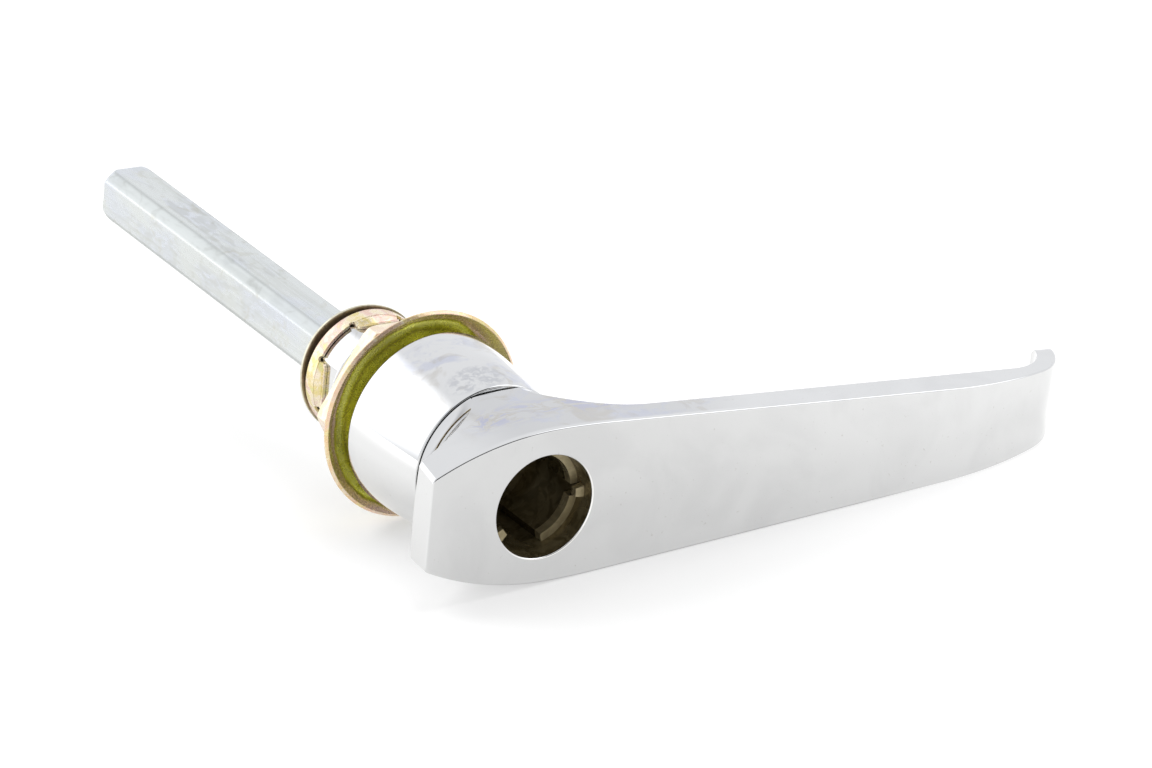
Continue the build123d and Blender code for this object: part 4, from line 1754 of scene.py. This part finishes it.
@dataclass(frozen=True)
class YellowZinc(Finish):
    """Yellow passivated zinc, whose thin film shifts between gold, pink, green and olive."""

    label: str = "yellow_zinc"
    kind: Sheen = Sheen.NUT
    gold: Colour = (0.78, 0.66, 0.30)
    pink: Colour = (0.78, 0.55, 0.50)
    green: Colour = (0.66, 0.74, 0.34)
    cream: Colour = (0.88, 0.80, 0.62)
    olive: Colour = (0.74, 0.73, 0.05)
    # The next two colours are a painted highlight and painted shade, in the washer's bands.
    lime_highlight: Colour = (1.0, 1.0, 0.22)
    dark: Colour = (0.45, 0.41, 0.03)
    brown: Colour = (0.52, 0.33, 0.22)
    tan: Colour = (0.86, 0.64, 0.42)
    rose: Colour = (0.80, 0.52, 0.36)
    worn: Colour = (0.72, 0.70, 0.60)
    dish_start: float = 14.2
    dish_width: float = 6.0
    rim_start: float = 18.75

    def film(self, tree: Tree, spot: Socket) -> tuple[Socket, Num]:
        """Colour of the film by a warped noise.

        Args:
            tree: The material's tree.
            spot: Place in millimetres.

        Returns:
            The colour and a finer noise.
        """
        slow = tree.noise(spot, 9.0, 3.0, 1.5)
        fine = tree.noise(spot, 1.5, 5.0, 1.0)
        stops = [
            (0.34, self.green),
            (0.44, self.gold),
            (0.50, self.cream),
            (0.56, self.pink),
            (0.66, self.gold),
        ]
        return tree.ramp(slow * 0.75 + fine * 0.25, stops), fine

    def washer_shading_bands(self, tree: Tree, spot: Socket, fine: Num, film: Any) -> Socket:
        """Bands of colour round the dish, by the distance from the axis, and a rosy rim.

        The lime bands are a painted highlight, and the dark bands beside them painted shade. The distance is
        shifted by a noise, outwards towards the bottom and inwards at the upper right, which moves them.

        Args:
            tree: The material's tree.
            spot: Place in millimetres.
            fine: Fine noise.
            film: Colour of the film, which shows on the rim.

        Returns:
            The bands' colour.
        """
        # Painted light: the lime stops are a painted highlight, and the dark stops beside them painted shade.
        stops = [
            (0.04, self.olive),
            (0.14, self.dark),
            (0.22, self.olive),
            (0.29, self.lime_highlight),
            (0.39, self.lime_highlight),
            (0.44, self.olive),
            (0.48, self.dark),
            (0.53, self.tan),
            (0.60, self.pink),
            (0.82, self.gold),
        ]
        x, _, z = tree.parts(spot)
        radius = (x * x + z * z) ** 0.5
        wobble = (tree.noise(spot, 8.0, 3.0, 1.0) - 0.5) * 1.8
        shift = x * 0.045 + z.rise(-3.0, -17.0) * 1.3 - x.rise(6.0, 15.0) * z.rise(2.0, 9.0) * 1.9
        across = (radius + wobble - shift - self.dish_start) / self.dish_width
        rim = radius.rise(self.rim_start, self.rim_start + 0.15)
        colour = tree.mix(0.04 + rim * 0.7, tree.ramp(across, stops), film)
        return tree.mix(rim * fine.rise(0.62, 0.42) * 0.6, colour, self.rose)

    def paint(self, tree: Tree) -> None:
        """Lays the film's colour and, by kind, its bands of colour, painted highlight and painted shade over
        the piece.

        Args:
            tree: The material's tree.
        """
        spot = tree.spot()
        x, y, z = tree.parts(spot)
        colour, fine = self.film(tree, spot)
        # On the washer, painted highlight and painted shade lie in bands round the dish.
        if self.kind is Sheen.WASHER:
            colour = self.washer_shading_bands(tree, spot, fine, colour)
        if self.kind is Sheen.CAP:
            shoulder = y.band(23.3, 23.9, 0.5)
            colour = tree.mix(shoulder * 0.5, colour, self.brown)
            colour = tree.mix(0.12, colour, self.brown)
        if self.kind is Sheen.NUT:
            colour = tree.mix(0.5, colour, self.cream)
            colour = tree.mix(z.rise(-4.0, -13.0) * x.rise(0.0, -10.0) * 0.55, colour, self.green)
        speck = tree.noise(spot, 0.5, 3.0).rise(0.6, 0.7)
        colour = tree.mix(speck * 0.08, colour, self.brown)
        worn = fine.rise(0.62, 0.74) * (0.15 if self.kind is Sheen.WASHER else 0.5)
        colour = tree.mix(worn, colour, self.worn)
        rough = 0.22 + fine.rise(0.35, 0.7) * 0.12 + speck * 0.1
        normal = tree.bump(fine * 0.6 + tree.noise(spot, 0.35, 2.0) * 0.4, 0.005)
        varying = {"Base Color": colour, "Roughness": rough, "Normal": normal}
        tree.surface({"Metallic": 0.75, "Specular IOR Level": 0.3}, varying)


@dataclass(frozen=True)
class SpringSteel(Finish):
    """Spring steel with a thin olive-brown coat that is worn pale in places."""

    label: str = "spring_steel"
    colour: Colour = (0.42, 0.39, 0.29)
    worn: Colour = (0.62, 0.60, 0.50)
    # The next colour is a painted highlight on the outer edge; the one after is dark specks and painted shade
    # on the face.
    edge: Colour = (0.80, 0.76, 0.60)
    dark: Colour = (0.16, 0.13, 0.09)

    def paint(self, tree: Tree) -> None:
        """Mixes worn and dark clouds over the coat, with a painted highlight on the edge and painted shade
        inside it.

        Args:
            tree: The material's tree.
        """
        spot = tree.spot()
        cloud = tree.noise(spot, 4.5, 4.0, 0.8)
        fine = tree.noise(spot, 0.8, 4.0)
        colour = tree.mix(cloud.rise(0.4, 0.62), self.colour, self.worn)
        colour = tree.mix(fine.rise(0.55, 0.7) * 0.6, colour, self.dark)
        x, _, z = tree.parts(spot)
        radius = (x * x + z * z) ** 0.5
        # Painted highlight: a pale line on the outer edge.
        colour = tree.mix(radius.rise(11.9, 12.0) * 0.6, colour, self.edge)
        # Painted shade: the face inside the rim is darkened towards the top, where it lies in the gap.
        colour = tree.mix(radius.rise(11.95, 11.6) * z.rise(-2.0, 5.0) * 0.75, colour, self.dark)
        rough = 0.3 + fine.rise(0.4, 0.7) * 0.2
        varying = {"Base Color": colour, "Roughness": rough, "Normal": tree.bump(fine, 0.015)}
        tree.surface({"Metallic": 1.0}, varying)


@dataclass(frozen=True)
class Moulding(Finish):
    """Moulded rubber or plastic with a fine grain."""

    label: str = "moulding"
    colour: Colour = (0.025, 0.025, 0.027)
    pale: Colour = (0.06, 0.06, 0.06)
    grain: float = 0.3
    roughness: float = 0.6

    def paint(self, tree: Tree) -> None:
        """Mixes a paler dust into the colour and raises the grain.

        Args:
            tree: The material's tree.
        """
        spot = tree.spot()
        dust = tree.noise(spot, 2.2, 4.0)
        grain = tree.noise(spot, self.grain, 2.0)
        colour = tree.mix(dust.rise(0.45, 0.7), self.colour, self.pale)
        rough = self.roughness + dust.rise(0.4, 0.7) * 0.15
        tree.surface({}, {"Base Color": colour, "Roughness": rough, "Normal": tree.bump(grain, 0.02)})


@dataclass
class Studio:
    """Floor, lamps, surroundings and camera of a small white table set.

    The floor's sizes are in millimetres, and the lamps' and the camera's places in metres.
    """

    floor_place: float = -19.23
    floor_rise: tuple[float, float] = (0.067, -0.118)
    half_size: float = 3000.0
    floor_colour: float = 0.86
    floor_glow: float = 0.55
    front_glow: float = 1.08
    back_glow: float = 0.17
    left_glow: float = 0.3
    right_glow: float = 0.42
    far_left_glow: float = 8.5
    painted_shadow_drop: float = 0.8
    sight_share: float = 0.86
    level: float = 0.5
    room: float = 1.12
    room_drop: float = 1.02
    room_way: Way = (0.05, -0.87, 0.49)
    lamp_gain: float = 0.72
    lamp_way: Way = (-0.55, 0.78, 0.34)
    spark_gain: float = 2.2
    spark_way: Way = (0.66, -0.30, 0.69)
    sky: Colour = (0.965, 0.975, 1.0)
    white: Colour = (1.0, 1.0, 1.0)
    lens: float = 187.31
    camera_place: Way = (-0.5228, -0.7966, 0.4193)
    camera_right: Way = (0.8408, -0.5326, 0.0966)
    camera_up: Way = (0.1374, 0.3826, 0.9136)

    def build_floor(self) -> bpy.types.Object:
        """Returns the floor: a plane at place + a x + b y, which touches the washer and the lever."""
        side = np.linspace(-self.half_size, self.half_size, 3)
        x, y = np.meshgrid(side, side, indexing="ij")
        z = self.floor_place + self.floor_rise[0] * x + self.floor_rise[1] * y
        grid = np.stack([x, y, z], axis=-1)
        skin = Skin("floor")
        skin.add(grid, facing=np.array([0.0, 0.0, 1.0]))
        floor = skin.build()
        floor.data.materials.append(self.floor_material())
        return floor

    def floor_material(self) -> bpy.types.Material:
        """Returns the floor's material: matt white, with a glow that only sight and gloss meet.

        The glow rises towards the right, the near left and the back, and most of all at the far left.
        Gloss sees it darker under the resting lever, as a painted shadow.
        """
        made = bpy.data.materials.new("table_white")
        made.use_nodes = True
        tree = Tree(made.node_tree)
        x, y, _ = tree.parts(tree.spot())
        far_left = x.rise(-64.0, -260.0) * y.rise(-50.0, 60.0)
        back = (y - x * 0.6).rise(-220.0, 260.0) + far_left * self.far_left_glow
        left = x.rise(-15.0, -55.0) * y.rise(150.0, 70.0)
        right = x.rise(20.0, 130.0)
        # Painted shadow: the region under the resting lever, where glossy rays see less glow.
        under = y.rise(-37.7, -37.1) * y.rise(-20.0, -28.0) * x.rise(-18.0, 4.0) * x.rise(84.0, 66.0)
        level = back * self.back_glow + left * self.left_glow + right * self.right_glow + self.front_glow
        path = tree.node("ShaderNodeLightPath").outputs
        gloss = Num(tree, path["Is Glossy Ray"])
        level = level * (1.0 - under * gloss * self.painted_shadow_drop)
        seen = (Num(tree, path["Is Camera Ray"]) * self.sight_share).math("MAXIMUM", gloss)
        seen = seen.math("MAXIMUM", Num(tree, path["Is Transmission Ray"]))
        matt = tree.node("ShaderNodeBsdfDiffuse", links={"Color": (*[self.floor_colour] * 3, 1.0)})
        glow = tree.node("ShaderNodeEmission", links={"Strength": level})
        links = {0: seen * self.floor_glow, 1: matt.outputs[0], 2: glow.outputs[0]}
        both = tree.node("ShaderNodeMixShader", links=links)
        tree.node("ShaderNodeOutputMaterial", links={"Surface": both.outputs[0]})
        return made

    def build_world(self) -> None:
        """Makes the world: a plain level for matt surfaces, white for sight, and the room for gloss.

        The room's radiance is a little over 1, with more from the large lamp's side and a spark at the
        right, and almost none from the dark side behind the camera.
        """
        world = bpy.data.worlds.new("studio")
        bpy.context.scene.world = world
        world.use_nodes = True
        tree = Tree(world.node_tree)
        ray = tree.node("ShaderNodeTexCoord").outputs["Generated"]

        def towards(way: Sequence[float], low: float, high: float) -> Num:
            """Ramp of the ray's closeness to a way.

            Args:
                way: The way, of any length.
                low: Cosine where the ramp starts.
                high: Cosine where it ends.

            Returns:
                The ramp of the product of the two directions.
            """
            way = tuple(Vector(way).normalized())
            made = tree.node("ShaderNodeVectorMath", {"operation": "DOT_PRODUCT"}, {0: ray, 1: way})
            return Num(tree, made.outputs["Value"]).rise(low, high)

        lamp = towards(self.lamp_way, 0.83, 0.91) * self.lamp_gain
        spark = towards(self.spark_way, 0.90, 0.965) * self.spark_gain
        room = towards(self.room_way, 0.74, 0.93) * self.room_drop
        level = (self.room - room).math("MAXIMUM", spark) + lamp
        path = tree.node("ShaderNodeLightPath").outputs
        white, sky = (*self.white, 1.0), (*self.sky, 1.0)
        plain = tree.node("ShaderNodeBackground", links={"Color": white, "Strength": self.level})
        shown = tree.node("ShaderNodeBackground", links={"Color": sky, "Strength": level})
        backdrop = tree.node("ShaderNodeBackground", links={"Color": white, "Strength": 1.0})
        links = {0: path["Is Glossy Ray"], 1: plain.outputs[0], 2: shown.outputs[0]}
        gloss = tree.node("ShaderNodeMixShader", links=links)
        sight = Num(tree, path["Is Camera Ray"]).math("MAXIMUM", Num(tree, path["Is Transmission Ray"]))
        both = tree.node("ShaderNodeMixShader", links={0: sight, 1: gloss.outputs[0], 2: backdrop.outputs[0]})
        tree.node("ShaderNodeOutputWorld", links={"Surface": both.outputs[0]})

    @staticmethod
    def add_lamp(name: str, place: Vector, size: float, watts: float) -> None:
        """Adds a square lamp that faces the hub and that metal doesn't show.

        Args:
            name: Its name.
            place: Where it stands, in metres.
            size: Side of its square, in metres.
            watts: Its power.
        """
        data = bpy.data.lights.new(name, "AREA")
        data.size = size
        data.energy = watts
        lamp = bpy.data.objects.new(name, data)
        lamp.location = place
        lamp.rotation_euler = (Vector((0.02, 0.0, 0.0)) - place).to_track_quat("-Z", "Y").to_euler()
        lamp.visible_glossy = False
        bpy.context.scene.collection.objects.link(lamp)

    def build_lamps(self) -> None:
        """Adds the large lamp at the back left, one above and a weak one in front."""
        self.add_lamp("large_lamp", Vector((-0.75, 1.05, 1.1)), 0.9, 14.0)
        self.add_lamp("top_lamp", Vector((0.3, 0.1, 1.5)), 1.1, 10.0)
        self.add_lamp("front_lamp", Vector((0.2, -1.4, 0.9)), 0.8, 4.0)

    def build_camera(self) -> bpy.types.Object:
        """Returns the camera at the photograph's place."""
        data = bpy.data.cameras.new("photo_camera")
        data.sensor_fit = "HORIZONTAL"
        data.sensor_width = 36.0
        data.lens = self.lens
        data.clip_start = 0.05
        camera = bpy.data.objects.new("photo_camera", data)
        right, up = Vector(self.camera_right), Vector(self.camera_up)
        turn = Matrix((right, up, right.cross(up))).transposed()
        camera.matrix_world = Matrix.Translation(self.camera_place) @ turn.to_4x4()
        bpy.context.scene.collection.objects.link(camera)
        bpy.context.scene.camera = camera
        return camera


@dataclass
class Handle:
    """The whole handle: meshes that stand for CAD nodes, and finishes for the nodes that stay."""

    lever: LeverCasting = field(default_factory=LeverCasting)
    housing: HousingCasting = field(default_factory=HousingCasting)
    bar: SquareSpindle = field(default_factory=SquareSpindle)
    fixing: FixingHardware = field(default_factory=FixingHardware)
    cap: EndCap = field(default_factory=EndCap)
    spring: BowedWasher = field(default_factory=BowedWasher)

    def build(self) -> None:
        """Builds every piece, with its finish and body."""
        chrome = MirrorChrome().material()
        plans = [
            (self.lever.build, "lever", "lever_body", "chrome", chrome),
            (self.housing.build, "housing", "housing_body", "chrome", chrome),
            (self.bar.build, "spindle", "lever_body", "clear_zinc", ClearZinc().material()),
            (self.fixing.build_washer, "cup_washer", "washer_body", "yellow_zinc", self.zinc(Sheen.WASHER)),
            (self.fixing.build_nut, "fixing_nut", "nut_body", "yellow_zinc", self.zinc(Sheen.NUT)),
            (self.cap.build, "barrel_cap", "housing_body", "yellow_zinc", self.zinc(Sheen.CAP)),
            (self.spring.build, "bowed_washer", "lever_body", "spring_steel", SpringSteel().material()),
        ]
        for make, node, body, slot, material in plans:
            self.place(make, node, body, slot, material)
        steel = SpringSteel(
            "ring_steel",
            colour=(0.45, 0.44, 0.41),
            worn=(0.60, 0.59, 0.56),
            dark=(0.2, 0.19, 0.17),
        ).material()
        rubber = Moulding("seal_rubber").material()
        plastic = Moulding(
            "bearing_plastic",
            colour=(0.62, 0.60, 0.54),
            pale=(0.70, 0.68, 0.62),
            grain=0.5,
            roughness=0.42,
        ).material()
        kept = {
            "hub_pin": steel,
            "retaining_ring": steel,
            "hub_seal": rubber,
            "thrust_washer": plastic,
            "spindle_bush": plastic,
        }
        for name, material in kept.items():
            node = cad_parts[name]
            node.data.materials.clear()
            node.data.materials.append(material)
            LOG.info("%s keeps its CAD form, with the finish %s", name, material.name)

    @staticmethod
    def zinc(kind: Sheen) -> bpy.types.Material:
        """Returns the yellow zinc for one piece."""
        return YellowZinc(label=f"yellow_zinc_{kind.value}", kind=kind).material()

    @staticmethod
    def place(make: Callable, node: str, body: str, slot: str, material: bpy.types.Material) -> None:
        """Builds one piece and ties it to the frame.

        Args:
            make: Builds its object.
            node: The CAD node that it stands for.
            body: The body that it moves with.
            slot: The record's material slot; not used.
            material: Its finish.
        """
        piece = make()
        piece.data.materials.append(material)
        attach(piece, body)
        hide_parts(node)
        LOG.info("%s for %s: %d faces, finish %s", piece.name, node, len(piece.data.polygons), material.name)


def main() -> None:
    """Builds the set and the handle."""
    logging.basicConfig(level=logging.INFO, format="%(name)s: %(message)s")
    scene = bpy.context.scene
    scene.view_settings.view_transform = "Standard"
    for name in ("Cube", "Light", "Camera"):
        if name in bpy.data.objects:
            bpy.data.objects.remove(bpy.data.objects[name])
    studio = Studio()
    studio.build_floor()
    studio.build_world()
    studio.build_lamps()
    studio.build_camera()
    Handle().build()


if __name__ == "__main__":
    main()
